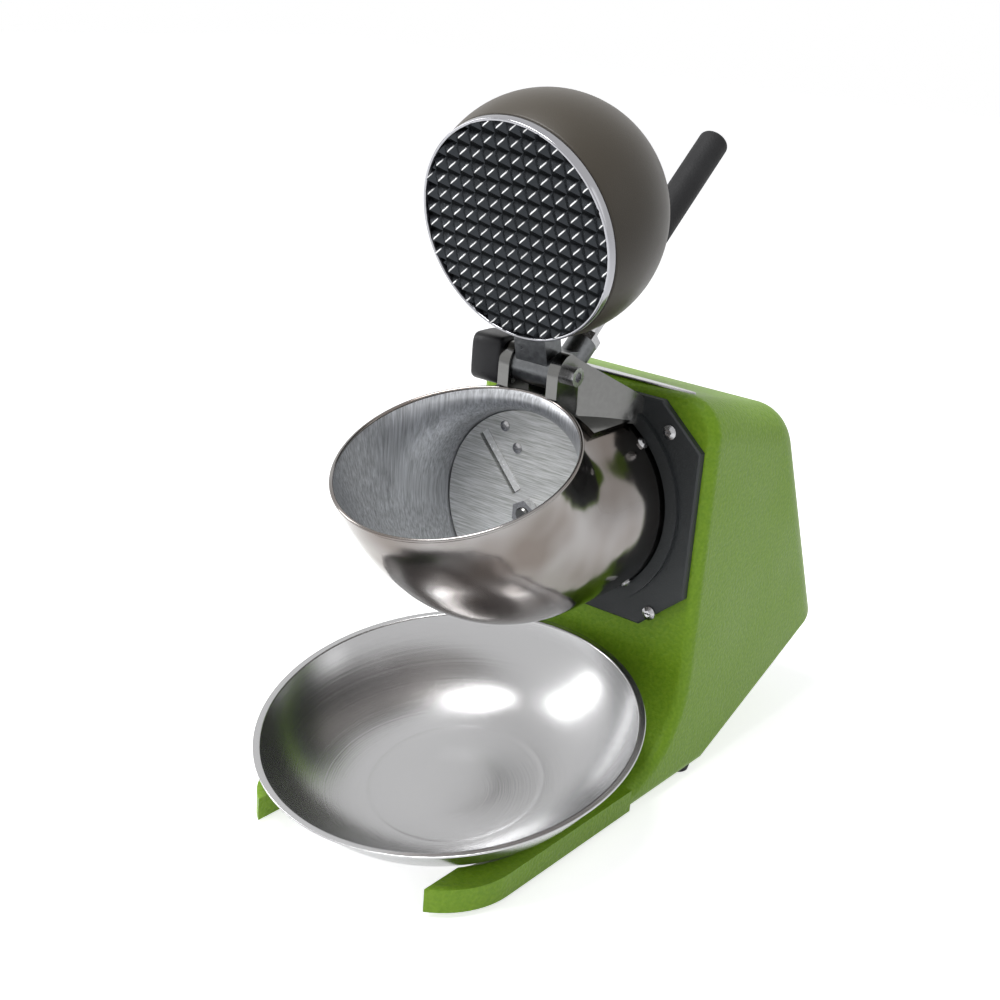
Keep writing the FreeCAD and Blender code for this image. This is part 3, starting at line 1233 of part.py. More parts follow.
body_shell()
base_cover()
rubber_feet()
cover_screws()
top_badge()
front_plate()
hopper()
front_plate_screws()
hopper_screws()
hinge_bracket()
hinge_bolt()
hinge_nut()
safety_switch()
safety_plunger()
safety_screws()
lid_arm()
lid_plate()
lid_band()
lid_dome()
arm_screws()
lever_rod()
lever_locknut()
lever_grip()
blade_disc()
blades()
blade_screws()
disc_nut()
drive_shaft()
bearing("front_bearing", FRONT_BEARING)
motor_caps()
motor_core()
bearing("rear_bearing", f"({STATOR_END} + 1.3)")
cooling_fan()
motor_screws()
bowl()
power_switch()
power_rocker()
cord_gland()
doc.recompute()

for item in doc.Objects:
    if "Invalid" in item.State or "Error" in item.State:
        raise ValueError(f"{item.Label} was not computed")
for label, item in nodes.items():
    if item.Shape.isNull() or not item.Shape.isValid():
        raise ValueError(f"{label} has no valid shape")
    item.Shape.exportStep(f"parts/{label}.step")
print(len(nodes), "pieces written")
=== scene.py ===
# %% [markdown]
# # An ice shaver, dressed for a portrait
# The engineering model of the machine is loaded as it is, and stays as it is. This file adds the camera,
# the light and the finishes, and makes finer skins for the round pieces, whose smooth curves show every
# facet in a polished surface.

import bpy
import numpy as np
from mathutils import Matrix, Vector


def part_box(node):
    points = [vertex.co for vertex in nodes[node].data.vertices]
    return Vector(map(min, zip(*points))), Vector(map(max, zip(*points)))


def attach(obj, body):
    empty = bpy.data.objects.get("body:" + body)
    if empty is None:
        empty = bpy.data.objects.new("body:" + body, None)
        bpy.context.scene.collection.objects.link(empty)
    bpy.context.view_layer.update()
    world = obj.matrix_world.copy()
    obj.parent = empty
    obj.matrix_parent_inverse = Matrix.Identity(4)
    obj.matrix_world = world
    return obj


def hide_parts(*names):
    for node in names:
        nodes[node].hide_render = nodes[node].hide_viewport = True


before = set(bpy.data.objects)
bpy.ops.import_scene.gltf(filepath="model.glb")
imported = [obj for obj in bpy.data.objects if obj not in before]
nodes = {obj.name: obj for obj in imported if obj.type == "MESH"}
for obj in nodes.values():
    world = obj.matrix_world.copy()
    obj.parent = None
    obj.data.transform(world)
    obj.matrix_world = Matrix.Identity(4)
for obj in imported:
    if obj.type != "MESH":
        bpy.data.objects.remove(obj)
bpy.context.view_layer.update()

# %% [markdown]
# ## Sizes
# The skins repeat the machine's main sizes, in metres. Most of them are measured from the blade disc's
# centre, which is the middle of the machine's head: X to the right, Y to the back, Z up.

# %% Name the sizes that the skins share
MM = 0.001
HEAD = np.array([0.0, -36.25, 196.0]) * MM
BEND_RADIUS = 88 * MM
NECK_RADIUS = 71 * MM
MOUTH_RADIUS = 79 * MM
NECK_LENGTH = 60.3 * MM
MOUTH_TILT = np.radians(21.8)
SHEET = 1.2 * MM
CHUTE_HALF_WIDTH = 42 * MM
CHUTE_FRONT, CHUTE_BACK = 8 * MM, 38 * MM
BOWL_PLACE = HEAD + np.array([0.0, -70.6, -130.0]) * MM
BOWL_TILT = np.radians(12.2)
PIN = HEAD + np.array([0.0, 0.0, 100.0]) * MM
LID_TILT = np.radians(14.9)
LID_REACH = 98 * MM
print("head at", HEAD, "and hinge pin at", PIN)


# %% [markdown]
# ## A grid that becomes a mesh
# Every skin is a surface of two parameters. The points come as one array of rows and columns, and each
# four neighbours make a face. Each row closes on itself, the rows can close on each other, and a mask
# leaves faces out where the sheet has an opening.

# %% Turn an array of points into a smooth mesh
def surface(name, points, loop=False, keep=None, flip=False):
    """Grid points[row, column] joined to quads round the columns; loop also closes the rows."""
    rows, columns = points.shape[:2]
    number = np.arange(rows * columns).reshape(rows, columns)
    number = np.concatenate([number, number[:, :1]], axis=1)
    if loop:
        number = np.concatenate([number, number[:1]], axis=0)
    quads = np.stack([number[:-1, :-1], number[:-1, 1:], number[1:, 1:], number[1:, :-1]], axis=-1)
    if keep is not None:
        quads = quads[keep]
    quads = quads.reshape(-1, 4)
    if flip:
        quads = quads[:, ::-1]
    mesh = bpy.data.meshes.new(name)
    mesh.from_pydata(points.reshape(-1, 3), [], quads)
    mesh.polygons.foreach_set("use_smooth", np.ones(len(mesh.polygons), bool))
    mesh.validate()
    piece = bpy.data.objects.new(name, mesh)
    bpy.context.scene.collection.objects.link(piece)
    print(name, len(mesh.polygons), "faces")
    return piece


print("grids can become meshes")


# %% [markdown]
# ## Turning and placing
# A turned piece is drawn as half of its section and carried round an axis. Sections are made of straight
# stretches and arcs, and the finished grid is tipped and moved to its place on the machine.

# %% Carry a section round an axis
def arc(centre, radius, start, end, count):
    """Points on a circle from start to end degrees: centre + radius (cos t, sin t)."""
    turns = np.radians(np.linspace(start, end, count))
    return np.stack([centre[0] + radius * np.cos(turns), centre[1] + radius * np.sin(turns)], axis=-1)


def turn(section, steps):
    """Section of (radius, height) points carried round Z: (r cos a, r sin a, h) for each angle a."""
    angle = np.linspace(0, 2 * np.pi, steps, endpoint=False)
    radius, height = section.T
    return np.stack([np.outer(radius, np.cos(angle)), np.outer(radius, np.sin(angle)),
                     np.outer(height, np.ones(steps))], axis=-1)


def tip(points, angle, place):
    """Points turned about X by angle and moved to place: y' = y cos - z sin, z' = y sin + z cos."""
    x, y, z = np.moveaxis(points, -1, 0)
    return np.stack([x, y * np.cos(angle) - z * np.sin(angle), y * np.sin(angle) + z * np.cos(angle)],
                    axis=-1) + place


print("sections can be turned and tipped")


# %% [markdown]
# ## Arithmetic on sockets
# A pattern is arithmetic on signals. One small class lets Python's own operators write it, so that
# `1 - mask` is a Math node, and one method adds every other node.

# %% Wrap sockets so that arithmetic adds nodes
class Signal:
    """An output socket; operators on it add Math nodes to its graph."""

    def __init__(self, graph, socket):
        self.graph = graph
        self.socket = socket

    def __add__(self, other):
        return self.graph.math("ADD", self, other)

    def __sub__(self, other):
        return self.graph.math("SUBTRACT", self, other)

    def __rsub__(self, other):
        return self.graph.math("SUBTRACT", other, self)

    def __mul__(self, other):
        return self.graph.math("MULTIPLY", self, other)

    def __truediv__(self, other):
        return self.graph.math("DIVIDE", self, other)

    def __rtruediv__(self, other):
        return self.graph.math("DIVIDE", other, self)

    __radd__ = __add__
    __rmul__ = __mul__


class Graph:
    """A tree of nodes."""

    def __init__(self, tree):
        self.nodes = tree.nodes
        self.links = tree.links

    def node(self, kind, settings=None, sockets=None, output=0):
        """Add a node: its settings first, then its sockets' values or links. Gives one of its outputs."""
        made = self.nodes.new(kind)
        for name, choice in (settings or {}).items():
            setattr(made, name, choice)
        for name, amount in (sockets or {}).items():
            self.plug(made.inputs[name], amount)
        return Signal(self, made.outputs[output]) if made.outputs else None

    def plug(self, socket, amount):
        if isinstance(amount, Signal):
            self.links.new(amount.socket, socket)
        else:
            socket.default_value = amount

    def math(self, operation, *terms):
        return self.node("ShaderNodeMath", {"operation": operation}, dict(enumerate(terms)))


print("arithmetic adds nodes")


# %% [markdown]
# ## Finishes
# A finish is one Principled shader and whatever patterns feed it. Its colour and roughness are given as
# plain values, and a pattern that is fed later takes their place. Patterns read Object coordinates, so
# that they stay on a piece that moves.

# %% Define a finish
class Finish(Graph):
    """A material with one Principled shader. Colours are linear."""

    def __init__(self, name, colour, roughness, metallic=0.0, **plain):
        self.material = bpy.data.materials.new(name)
        self.material.use_nodes = True
        super().__init__(self.material.node_tree)
        self.shader = self.nodes["Principled BSDF"]
        self.feed("Base Color", (*colour, 1.0))
        self.feed("Roughness", roughness)
        self.feed("Metallic", metallic)
        for socket, amount in plain.items():
            self.feed(socket.replace("_", " "), amount)

    def feed(self, name, amount):
        self.plug(self.shader.inputs[name], amount)

    def place(self, stretch=(1.0, 1.0, 1.0), centre=(0.0, 0.0, 0.0), turn=(0.0, 0.0, 0.0)):
        """Object coordinates less centre, stretched and then turned."""
        here = self.node("ShaderNodeTexCoord", output="Object")
        moved = self.node("ShaderNodeVectorMath", {"operation": "SUBTRACT"}, {0: here, 1: centre})
        return self.node("ShaderNodeMapping", {"vector_type": "POINT"},
                         {"Vector": moved, "Rotation": turn, "Scale": stretch})

    def noise(self, where, scale, detail=2.0, rough=0.5):
        return self.node("ShaderNodeTexNoise", sockets={"Vector": where, "Scale": scale, "Detail": detail,
                                                        "Roughness": rough})

    def mix(self, share, first, second):
        """The first colour where share is 0 and the second where it is 1."""
        return self.node("ShaderNodeMix", {"data_type": "RGBA"},
                         {0: share, 6: (*first, 1.0), 7: (*second, 1.0)}, output=2)

    def ramp(self, signal, low, high):
        """0 below low, 1 above high and straight between."""
        return self.node("ShaderNodeMapRange", {"clamp": True},
                         {"Value": signal, "From Min": low, "From Max": high})

    def bump(self, height, depth):
        """Bumps of that height signal, depth metres high."""
        self.feed("Normal", self.node("ShaderNodeBump", sockets={"Height": height, "Distance": depth}))

    def put_on(self, *names):
        for name in names:
            piece = bpy.data.objects[name]
            piece.data.materials.clear()
            piece.data.materials.append(self.material)


print("finishes can be mixed")

# %% [markdown]
# ## Powder coat
# The housing is powder coated. The powder melts into a film with a fine orange peel, so its colour is plain
# and its highlights are broken into grains. A fine noise drives the bump, and the same noise paints shade
# into the colour, darker in the peel's hollows and lighter on its raised grains. A slow one lets the gloss
# drift a little over the panels.

# %% Powder coat
green = Finish("green_powder_coat", (0.215, 0.400, 0.020), 0.42, Specular_IOR_Level=0.3)
skin = green.place()
peel_and_painted_shade = green.noise(skin, 420.0, detail=1.0)
green.bump(peel_and_painted_shade + green.noise(skin, 1400.0) * 0.35, 0.45 * MM)
green.feed("Roughness", 0.36 + green.noise(skin, 18.0) * 0.16)
# painted shade: the colour is darker in the peel's hollows and lighter on its raised grains
painted_hollow_shade, painted_peak_light = (0.185, 0.350, 0.012), (0.245, 0.430, 0.022)
green.feed("Base Color", green.mix(green.ramp(peel_and_painted_shade, 0.3, 0.75), painted_hollow_shade, painted_peak_light))
green.put_on("body_shell")
print("powder coat ready")

# %% [markdown]
# ## Satin paints
# The plate on the housing's front and the cover below are sprayed graphite, and the lid's dome is a warm
# dark brown. Sprayed paint lies flatter than powder, so its grain is finer and much shallower.

# %% Satin paints
graphite = Finish("graphite_paint", (0.034, 0.038, 0.040), 0.45, Specular_IOR_Level=0.4)
graphite.bump(graphite.noise(graphite.place(), 900.0), 0.2 * MM)
graphite.feed("Roughness", 0.38 + graphite.noise(graphite.place(), 30.0) * 0.18)
graphite.put_on("front_plate", "base_cover")

brown = Finish("brown_satin_paint", (0.046, 0.038, 0.027), 0.38, Specular_IOR_Level=0.35)
brown.feed("Roughness", 0.34 + brown.noise(brown.place(), 40.0) * 0.12)
brown.bump(brown.noise(brown.place(), 1500.0), 0.1 * MM)
print("satin paints ready")

# %% [markdown]
# ## Polished steel
# The hopper is formed from stainless sheet and polished outside. Polishing leaves soft waves that bend the
# reflections, so a slow noise drives a low bump, and the same noise paints darker and lighter patches into
# the colour as a painted reflection of a room.

# %% Polished steel
polished = Finish("polished_steel", (0.30, 0.28, 0.265), 0.10, metallic=1.0)
ripple_and_painted_reflection = polished.noise(polished.place(), 16.0)
polished.bump(ripple_and_painted_reflection, 2.2 * MM)
polished.feed("Roughness", 0.08 + polished.noise(polished.place(), 60.0) * 0.10)
# painted reflection: darker and lighter patches in the colour stand in for a room reflected in the steel
painted_reflection_dark, clear = (0.17, 0.145, 0.13), (0.33, 0.32, 0.315)
polished.feed("Base Color", polished.mix(polished.ramp(ripple_and_painted_reflection, 0.35, 0.7), painted_reflection_dark, clear))
print("polished steel ready")


# %% [markdown]
# ## Brushed and ground metals
# The hopper's inside keeps the long scratches of the brush, and the blade disc those of the grinder.
# Scratches are noise squeezed hard across the direction of brushing. The same noise, squeezed alike in all
# three directions, is the grain of a plated or cast surface.

# %% Brushed metals
def brushed(name, colour, roughness, stretch, depth=0.06 * MM, contrast=(0.8, 1.15), metallic=1.0,
            turn=(0, 0, 0)):
    """Metal with scratches along the axis with the small stretch; turn cuts the noise another way."""
    metal = Finish(name, colour, roughness, metallic)
    lines = metal.noise(metal.place(stretch, turn=turn), 1.0, detail=3.0, rough=0.65)
    metal.bump(lines, depth)
    metal.feed("Roughness", roughness - 0.07 + lines * 0.14)
    dull, bright = ([min(share * c, 1.0) for c in colour] for share in contrast)
    metal.feed("Base Color", metal.mix(metal.ramp(lines, 0.3, 0.7), dull, bright))
    return metal


inside = brushed("brushed_steel", (0.50, 0.51, 0.53), 0.36, stretch=(700.0, 700.0, 22.0), depth=0.08 * MM,
                 contrast=(0.6, 1.35), metallic=0.85)
bracket = brushed("bracket_steel", (0.17, 0.17, 0.165), 0.15, stretch=(30.0, 300.0, 300.0),
                  depth=0.02 * MM, contrast=(0.92, 1.06))
bracket.put_on("hinge_bracket", "drive_shaft")
ground = brushed("ground_disc", (0.82, 0.84, 0.78), 0.42, stretch=(55.0, 900.0, 1200.0), depth=0.08 * MM,
                 contrast=(0.6, 1.4), metallic=0.45, turn=(0, 0.3, 0))
ground.put_on("blade_disc")
print("brushed metals ready")

# %% [markdown]
# ## Plated and cast metals
# The blades are honed, the screws are zinc plated, and the arm and the motor's caps are cast. A casting's
# grain is deeper than that of plating.

# %% Plated and cast metals
blade = brushed("blade_steel", (0.90, 0.90, 0.87), 0.25, stretch=(500.0, 500.0, 500.0), metallic=0.3)
blade.put_on("blades")
zinc = brushed("zinc_plate", (0.42, 0.42, 0.43), 0.25, stretch=(700.0, 700.0, 700.0), depth=0.03 * MM)
zinc.put_on("cover_screws", "front_plate_screws", "hopper_screws", "hinge_bolt", "hinge_nut",
            "safety_plunger", "safety_screws", "arm_screws", "lever_rod", "lever_locknut", "blade_screws",
            "disc_nut", "motor_screws", "top_badge")
cast = brushed("cast_aluminium", (0.14, 0.145, 0.15), 0.30, stretch=(260.0, 260.0, 260.0), depth=0.2 * MM)
cast.put_on("lid_arm", "motor_front_cap", "motor_rear_cap")
print("plated and cast metals ready")

# %% [markdown]
# ## The spiked plate
# The lid's plate is covered in square pyramids. Each of them carries a painted highlight, a bright glint
# painted into the colour along one of its ridges, from the tip outwards. Across the plate both coordinates
# are counted in spikes from the nearest tip, so a ridge is where they are equal, and the painted glint lies
# between two fades.

# %% Spiked plate
SPIKE_PITCH = 10 * MM
RIDGE_FADE = 0.03, 0.08
NEAR_FADE = 0.01, 0.05
FAR_FADE = 0.26, 0.36
spikes = Finish("spiked_plate", (0.05, 0.055, 0.06), 0.2, metallic=1.0)
spot = spikes.place(centre=tuple(PIN), turn=(-LID_TILT, 0, 0))
x, z = (spikes.node("ShaderNodeSeparateXYZ", sockets={"Vector": spot}, output=axis) for axis in "XZ")
across = spikes.math("FRACT", x / SPIKE_PITCH) - 0.5
up = spikes.math("FRACT", (z - LID_REACH) / SPIKE_PITCH) - 0.5
off_ridge = spikes.math("ABSOLUTE", across - up)
# painted highlight: a bright glint along one ridge of each spike, from the tip outwards
painted_glint = 1 - spikes.ramp(off_ridge, *RIDGE_FADE)
painted_glint = painted_glint * spikes.ramp(across, *NEAR_FADE) * (1 - spikes.ramp(across, *FAR_FADE))
wander = spikes.noise(spikes.place(), 55.0)
dark, bright = (0.034, 0.037, 0.041), (0.95, 0.95, 0.95)
spikes.feed("Base Color", spikes.mix(painted_glint * (0.35 + wander), dark, bright))
spikes.feed("Roughness", 0.12 + wander * 0.2)
spikes.bump(spikes.noise(spikes.place(), 500.0), 0.1 * MM)
spikes.put_on("lid_plate")
print("spikes worn every", round(SPIKE_PITCH / MM), "mm")

# %% [markdown]
# ## Metals inside the machine
# Bearings are ground, and the motor's core is a stack of thin sheets, whose edges make fine lines round it.

# %% Inner metals
bearing = brushed("bearing_steel", (0.60, 0.60, 0.61), 0.18, stretch=(400.0, 400.0, 400.0),
                  depth=0.02 * MM)
bearing.put_on("front_bearing", "rear_bearing")
laminated = brushed("laminated_steel", (0.16, 0.16, 0.17), 0.5, stretch=(20.0, 2200.0, 20.0),
                    depth=0.3 * MM)
laminated.put_on("motor_stator", "motor_rotor")
print("inner metals ready")

# %% [markdown]
# ## Rubber and plastic
# Rubber is dark, matt and slightly uneven. Moulded plastic has a finer grain and a little more gloss.

# %% Soft and moulded finishes
rubber = Finish("black_rubber", (0.011, 0.011, 0.012), 0.62, Specular_IOR_Level=0.3)
rubber.bump(rubber.noise(rubber.place(), 700.0, detail=3.0), 0.4 * MM)
rubber.feed("Roughness", 0.55 + rubber.noise(rubber.place(), 60.0) * 0.2)
rubber.put_on("rubber_feet")
plastic = Finish("black_plastic", (0.012, 0.012, 0.014), 0.36, Specular_IOR_Level=0.25)
plastic.bump(plastic.noise(plastic.place(), 1600.0), 0.15 * MM)
plastic.put_on("power_switch", "power_rocker", "cord_gland", "cooling_fan")
print("rubber and plastic ready")


# %% [markdown]
# ## The hopper
# The hopper is an elbow of polished sheet. A straight neck runs to the front plate, and the bend opens
# as it turns towards the user, so that its mouth is wider than its neck. Each ring of the bend lies in a
# plane through one line above the disc's face.

# %% The hopper's bend
def elbow(share, angle):
    """Rings of the bend, at each share of it from the neck (0) to the mouth (1).

    The ring's plane leans by b = share (90 - tilt) degrees, and its radius is
    r = neck + (mouth - neck) share^3. With d = R - r sin a, a point is (r cos a, -d sin b, R - d cos b)."""
    share = share[:, None]
    lean = share * (np.pi / 2 - MOUTH_TILT)
    radius = NECK_RADIUS + (MOUTH_RADIUS - NECK_RADIUS) * share ** 3
    reach = BEND_RADIUS - radius * np.sin(angle)
    return np.stack([radius * np.cos(angle), -reach * np.sin(lean), BEND_RADIUS - reach * np.cos(lean)],
                    axis=-1)


BOTTOM = 1.5 * np.pi
chute_angle = np.arcsin(CHUTE_HALF_WIDTH / NECK_RADIUS)
spokes = np.linspace(0, 2 * np.pi, 256, endpoint=False)
spokes = np.unique(np.concatenate([spokes, [BOTTOM - chute_angle, BOTTOM + chute_angle]]))
bend = elbow(np.linspace(1, 0, 120), spokes)
print(len(spokes), "points round the hopper")

# %% [markdown]
# The shaved ice falls through a chute in the underside of the neck. Rings of the neck and points round it
# lie on the four edges of that opening, so leaving out whole faces cuts it cleanly. A Solidify modifier
# then gives the sheet its thickness, and its inner wall the brushed finish.

# %% Hopper skin
neck_y = np.array([2 * MM, 5 * MM, CHUTE_FRONT, 18 * MM, 28 * MM, CHUTE_BACK, 46 * MM, NECK_LENGTH])
neck = bend[-1] + neck_y[:, None, None] * [0, 1, 0]
between = spokes + np.diff(np.append(spokes, spokes[0] + 2 * np.pi)) / 2
over_chute = np.abs(between - BOTTOM) < chute_angle
row_start = np.concatenate([np.full(len(bend) - 1, -1.0), [0], neck_y[:-1]])
in_chute = (row_start >= CHUTE_FRONT) & (row_start < CHUTE_BACK)
closed = ~(in_chute[:, None] & over_chute[None, :])
hopper = surface("hopper_skin", HEAD + np.concatenate([bend, neck]), keep=closed, flip=True)
hopper.data.materials.append(polished.material)
hopper.data.materials.append(inside.material)
wall = hopper.modifiers.new("sheet", "SOLIDIFY")
wall.thickness = SHEET
wall.offset = -1.0
wall.material_offset = 1
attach(hopper, "housing")
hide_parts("hopper")

# %% [markdown]
# ## The rolled lip
# The mouth's edge is rolled over, which makes it stiff and safe to touch. It is a thin ring round the end
# of the bend: a circle carried round a circle.

# %% Lip skin
LIP_ROLL = 1.3 * MM
mouth = HEAD + np.array([0.0, -BEND_RADIUS * np.cos(MOUTH_TILT), BEND_RADIUS * (1 - np.sin(MOUTH_TILT))])
lip = turn(arc((MOUTH_RADIUS - SHEET / 2, 0.0), LIP_ROLL, 0, 345, 24), 192)
lip = surface("hopper_lip", tip(lip, MOUTH_TILT, mouth), loop=True)
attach(lip, "housing")
polished.put_on("hopper_lip")

# %% [markdown]
# ## The bowl
# The bowl is spun from one sheet: a flat floor, a side that is one arc, and a brim with a rounded edge. Its
# section is drawn in millimetres, along the outside, round the edge and back along the inside.

# %% Bowl skin
BOWL_DEPTH, BOWL_SHEET = 54, 1.0
BRIM_END = 126.6, -0.9
side = arc((44.8, 34.0), 88, -81.4, -23.2, 60)
floor_line = [(radius, -BOWL_DEPTH) for radius in (0.0005, 30, 56)]
outside = np.concatenate([floor_line, side[1:], [BRIM_END]])
edge = arc((129.25, -0.2), 0.72, -90, 90, 9)
section = np.concatenate([outside, edge, outside[::-1] + [0, BOWL_SHEET]]) * MM
bowl = surface("bowl_skin", tip(turn(section, 256), BOWL_TILT, BOWL_PLACE))
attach(bowl, "bowl")
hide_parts("bowl")

# %% [markdown]
# Spinning leaves fine rings. Their pattern is a noise in one dimension, which reads only the distance from
# the upright line through the bowl's middle. The bowl leans so little that the rings still look true.

# %% Bowl finish
satin = Finish("bowl_steel", (0.48, 0.48, 0.485), 0.24, metallic=1.0)
flat = satin.place(stretch=(1.0, 1.0, 0.0), centre=tuple(BOWL_PLACE))
from_middle = satin.node("ShaderNodeVectorMath", {"operation": "LENGTH"}, {0: flat}, "Value")
rings = satin.node("ShaderNodeTexNoise", {"noise_dimensions": "1D"},
                   {"W": from_middle, "Scale": 900.0, "Detail": 3.0, "Roughness": 0.7})
satin.bump(rings, 0.05 * MM)
satin.feed("Roughness", 0.18 + rings * 0.12)
satin.put_on("bowl_skin")
print("bowl finish ready")


# %% [markdown]
# ## The lid's dome
# The dome is pressed from sheet and painted. It is part of a sphere, with a notch at its foot where the arm
# comes out of it towards the hinge. Its section is in millimetres too.

# %% Dome skin
def on_lid(points):
    """From the lid's own frame (X, back towards the hinge, out of its back) to the machine's."""
    x, y, z = np.moveaxis(points, -1, 0)
    upright = np.stack([x, z, LID_REACH - y], axis=-1)
    return tip(upright, LID_TILT, PIN)


LID_STEPS = 240
FOOT_RADIUS = 72
NOTCH_HALF_WIDTH, NOTCH_TOP = 14, 9
dome = arc((0, 17.45), 76.47, -20.8, 89.9, 90)
between = (np.arange(LID_STEPS) + 0.5) * 2 * np.pi / LID_STEPS
in_notch = (np.abs(FOOT_RADIUS * np.cos(between)) < NOTCH_HALF_WIDTH) & (np.sin(between) > 0)
closed = ~((dome[:-1, 1] < NOTCH_TOP)[:, None] & in_notch[None, :])
cap = surface("dome_skin", on_lid(turn(dome * MM, LID_STEPS)), keep=closed)
shell = cap.modifiers.new("sheet", "SOLIDIFY")
shell.thickness = SHEET
shell.offset = -1.0
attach(cap, "lid")
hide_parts("lid_dome")
brown.put_on("dome_skin")

# %% [markdown]
# ## The lid's ring
# The ring holds plate and dome together. It is turned from aluminium and polished bright, with a soft outer
# corner that catches a line of light.

# %% Ring skin
corner = arc((70.2, -15.4), 0.8, -90, -10, 6)
band = np.concatenate([[(69.05, -9.7), (69.05, -15.7), (69.4, -16.2)], corner,
                       [(71.3, -12.4), (71.5, -9.8), (71.4, -9.7)]]) * MM
band = surface("band_skin", on_lid(turn(band, LID_STEPS)), loop=True)
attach(band, "lid")
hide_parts("lid_band")
shine = Finish("polished_aluminium", (0.36, 0.36, 0.38), 0.10, metallic=1.0)
shine.feed("Roughness", 0.10 + shine.noise(shine.place(), 120.0) * 0.1)
shine.put_on("band_skin")


# %% [markdown]
# ## Smooth shading of the engineering pieces
# The pieces of the frame come as loose triangles. A few geometry nodes join them for the picture only and
# shade faces smooth, except across edges that are really sharp. Weighted normals then let the large flat
# faces win over the narrow rounds beside them, so that panels don't look bent.

# %% Smooth what is round and keep what is sharp
def smoother(weld, sharp_angle):
    """Geometry nodes: points nearer than weld joined, faces smooth, edges above sharp_angle kept sharp."""
    tree = bpy.data.node_groups.new("smooth_by_angle", "GeometryNodeTree")
    for way in ("INPUT", "OUTPUT"):
        tree.interface.new_socket("Geometry", in_out=way, socket_type="NodeSocketGeometry")
    steps = Graph(tree)
    shape = steps.node("NodeGroupInput")
    shape = steps.node("GeometryNodeMergeByDistance", sockets={"Geometry": shape, "Distance": weld})
    shape = steps.node("GeometryNodeSetShadeSmooth", sockets={"Geometry": shape})
    fold = steps.node("GeometryNodeInputMeshEdgeAngle")
    sharp = steps.node("FunctionNodeCompare", sockets={"A": fold, "B": sharp_angle})
    shape = steps.node("GeometryNodeSetShadeSmooth", {"domain": "EDGE"},
                       {"Geometry": shape, "Selection": sharp, "Shade Smooth": False})
    steps.node("NodeGroupOutput", sockets={0: shape})
    return tree


rounding = smoother(weld=0.002 * MM, sharp_angle=np.radians(28.0))
for piece in nodes.values():
    if not piece.hide_render:
        piece.modifiers.new("smooth", "NODES").node_group = rounding
        flats = piece.modifiers.new("flat faces stay flat", "WEIGHTED_NORMAL")
        flats.mode = "FACE_AREA"
        flats.weight = 100
        flats.keep_sharp = True
print("smoothing on", sum(bool(p.modifiers) for p in nodes.values()), "pieces")

# %% [markdown]
# ## The grip
# The grip is a sleeve of matt rubber with a rounded end, pushed over the lever.

# %% Grip skin
LEVER_TILT = LID_TILT + np.radians(26.2) - np.pi / 2
root = tip(np.array([0.0, 41.0, -4.7]) * MM, LID_TILT, PIN)
grip = np.concatenate([[(6.1, 90.5), (9.8, 90.0)], arc((9.8, 91.2), 1.2, -90, 0, 6),
                       [(10.9, 120), (10.9, 188)], arc((6.9, 192.8), 4.0, 0, 90, 9), [(0.01, 197)]]) * MM
grip = surface("grip_skin", tip(turn(grip, 96), LEVER_TILT, root))
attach(grip, "lid")
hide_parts("lever_grip")
rubber.put_on("grip_skin")

# %% [markdown]
# ## The interlock's box
# The moulded box beside the hinge has large soft corners. Its outline is a rounded square, and its two ends
# are drawn in a little, as a moulding's edges are.

# %% Interlock box skin
ROUNDNESS = 5
low_corner, high_corner = (np.array(corner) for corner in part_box("safety_switch"))
middle, half = (low_corner + high_corner) / 2, (high_corner - low_corner) / 2
turns = np.linspace(0, 2 * np.pi, 96, endpoint=False)


def rounded(shrink, along):
    """A ring round X at along: y = h sgn(cos t) |cos t|^(2/n), z likewise with sin, n being ROUNDNESS."""
    y, z = (size * np.sign(wave) * np.abs(wave) ** (2 / ROUNDNESS)
            for size, wave in ((half[1], np.cos(turns)), (half[2], np.sin(turns))))
    return middle + np.stack([np.full(len(turns), along), y * shrink, z * shrink], axis=-1)


ends = [(0.001, 0.0), (0.90, 0.0), (0.97, 0.6 * MM), (1.0, 2 * MM)]
rows = [rounded(shrink, half[0] - step) for shrink, step in ends]
rows += [rounded(shrink, step - half[0]) for shrink, step in ends[::-1]]
box = surface("interlock_box", np.array(rows), flip=True)
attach(box, "housing")
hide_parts("safety_switch")
plastic.put_on("interlock_box")


# %% [markdown]
# ## Camera
# The camera stands where the machine is seen from its front right, a little above, about a metre away. It
# looks along its own -Z, so its matrix holds the directions right, above and back as columns, and a small
# roll turns the first two in their plane.

# %% Camera
def stand(thing, right, above, back, place):
    """Put an object in the scene at place, with its own X, Y and Z along right, above and back."""
    matrix = np.eye(4)
    matrix[:3] = np.stack([right, above, back, place], axis=-1)
    thing.matrix_world = Matrix(matrix.tolist())
    bpy.context.scene.collection.objects.link(thing)


def sideways(back):
    """The level direction to the right of someone who looks along -back: up x back, at length 1."""
    level = np.cross([0, 0, 1], back)
    return level / np.linalg.norm(level)


YAW, PITCH, ROLL = np.radians([36.7, 20.1, 4.4])
EYE = HEAD + np.array([545.6, -765.0, 350.8]) * MM
back = np.array([np.sin(YAW) * np.cos(PITCH), -np.cos(YAW) * np.cos(PITCH), np.sin(PITCH)])
level = sideways(back)
upright = np.cross(back, level)
lens = bpy.data.cameras.new("camera")
lens.lens = 54.0
lens.sensor_width = 36.0
camera = bpy.data.objects.new("camera", lens)
stand(camera, np.cos(ROLL) * level + np.sin(ROLL) * upright,
      np.cos(ROLL) * upright - np.sin(ROLL) * level, back, EYE)
bpy.context.scene.camera = camera
print("camera at", np.round(EYE, 3))


# %% [markdown]
# ## World
# A pale world lights the machine evenly. Whoever looks straight at it, through glass or in a polished
# surface, sees plain white instead, so that the background is white while the light stays soft.

# %% World
def looked_at(graph):
    """1 for rays of the camera, from a mirror or through glass, and 0 for those that only carry light."""
    straight, mirrored, through = (graph.node("ShaderNodeLightPath", output=f"Is {kind} Ray")
                                   for kind in ("Camera", "Glossy", "Transmission"))
    return graph.math("MAXIMUM", straight, graph.math("MAXIMUM", mirrored, through))


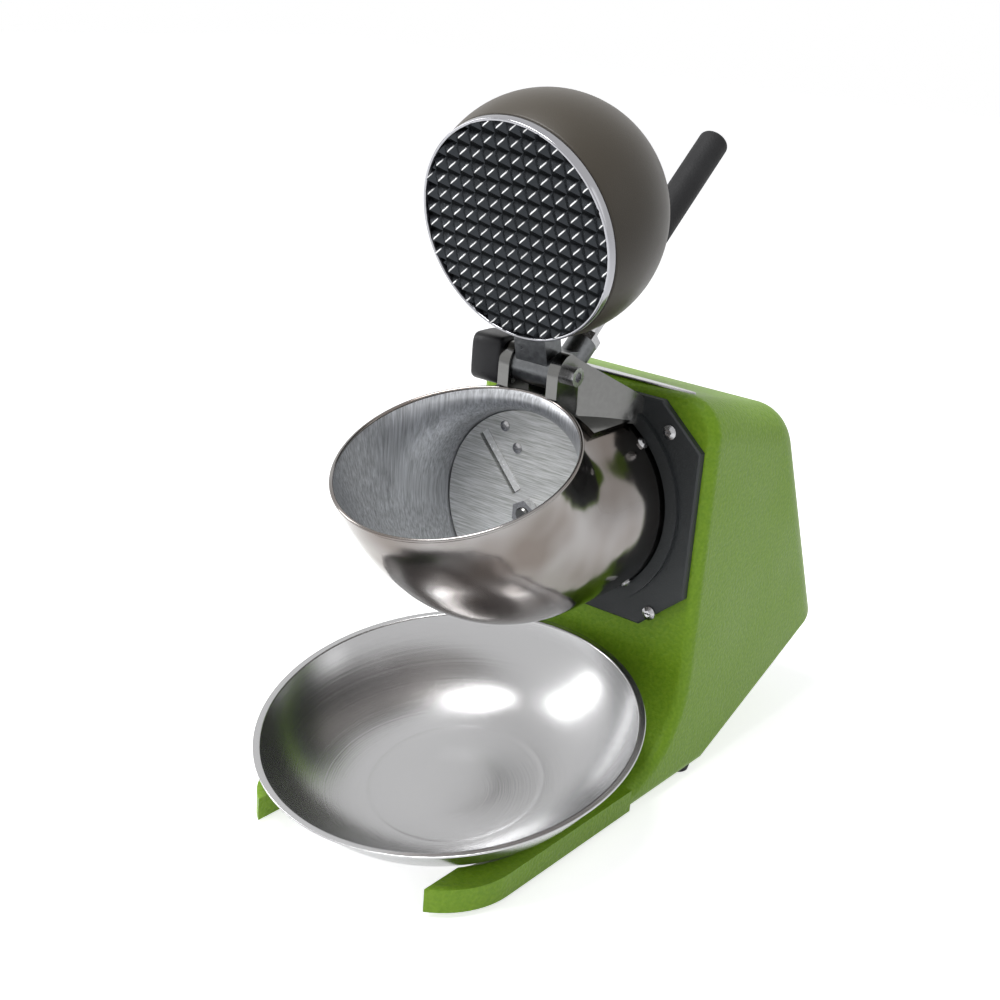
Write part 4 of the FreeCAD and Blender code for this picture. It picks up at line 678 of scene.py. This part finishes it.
world = bpy.data.worlds.new("studio")
bpy.context.scene.world = world
world.use_nodes = True
sky = Graph(world.node_tree)
sky.nodes.clear()
soft, white = (sky.node("ShaderNodeBackground", sockets={"Color": colour, "Strength": strength})
               for colour, strength in (((0.78, 0.80, 0.84, 1), 0.36), ((1, 1, 1, 1), 1.0)))
blend = sky.node("ShaderNodeMixShader", sockets={0: looked_at(sky), 1: soft, 2: white})
sky.node("ShaderNodeOutputWorld", sockets={"Surface": blend})
print("world ready")

# %% [markdown]
# ## Lamps
# A large soft lamp above and in front models the shapes. A tall one from the left puts long highlights on
# the bent metal, and a faint one on the right opens the shadow on the flank.

# %% Lamps
AIM = np.array([0.0, 0.0, 0.25])


def lamp(name, place, size, power):
    """A soft lamp at place, size metres wide and high, turned towards the machine's middle."""
    light = bpy.data.lights.new(name, "AREA")
    light.shape = "RECTANGLE"
    light.size, light.size_y = size
    light.energy = power
    away = np.array(place) - AIM
    away /= np.linalg.norm(away)
    right = sideways(away)
    stand(bpy.data.objects.new(name, light), right, np.cross(away, right), away, place)


lamp("key", (-0.2, -0.55, 1.5), size=(0.8, 0.5), power=18.0)
lamp("side", (1.4, 0.4, 0.9), size=(0.4, 0.9), power=0.8)
lamp("left", (-1.3, -0.7, 0.8), size=(0.3, 1.0), power=7.0)
print(len(bpy.data.lights), "lamps")

# %% [markdown]
# ## Floor
# The floor glows a little to whoever looks at it, so that it turns white around the soft shadow.

# %% Floor
FLOOR_REACH = 6
FLOOR_GLOW = 0.72
corners = [(x * FLOOR_REACH, y * FLOOR_REACH, 0) for x, y in ((-1, -1), (1, -1), (1, 1), (-1, 1))]
floor_mesh = bpy.data.meshes.new("floor")
floor_mesh.from_pydata(corners, [], [(0, 1, 2, 3)])
floor = bpy.data.objects.new("floor", floor_mesh)
bpy.context.scene.collection.objects.link(floor)
pale = Finish("pale_floor", (0.86, 0.86, 0.86), 0.8, Emission_Strength=1.0)
pale.feed("Emission Color", pale.mix(looked_at(pale), (0, 0, 0), (FLOOR_GLOW, FLOOR_GLOW, FLOOR_GLOW)))
pale.put_on("floor")
bpy.context.scene.view_settings.view_transform = "Standard"
print("studio ready")
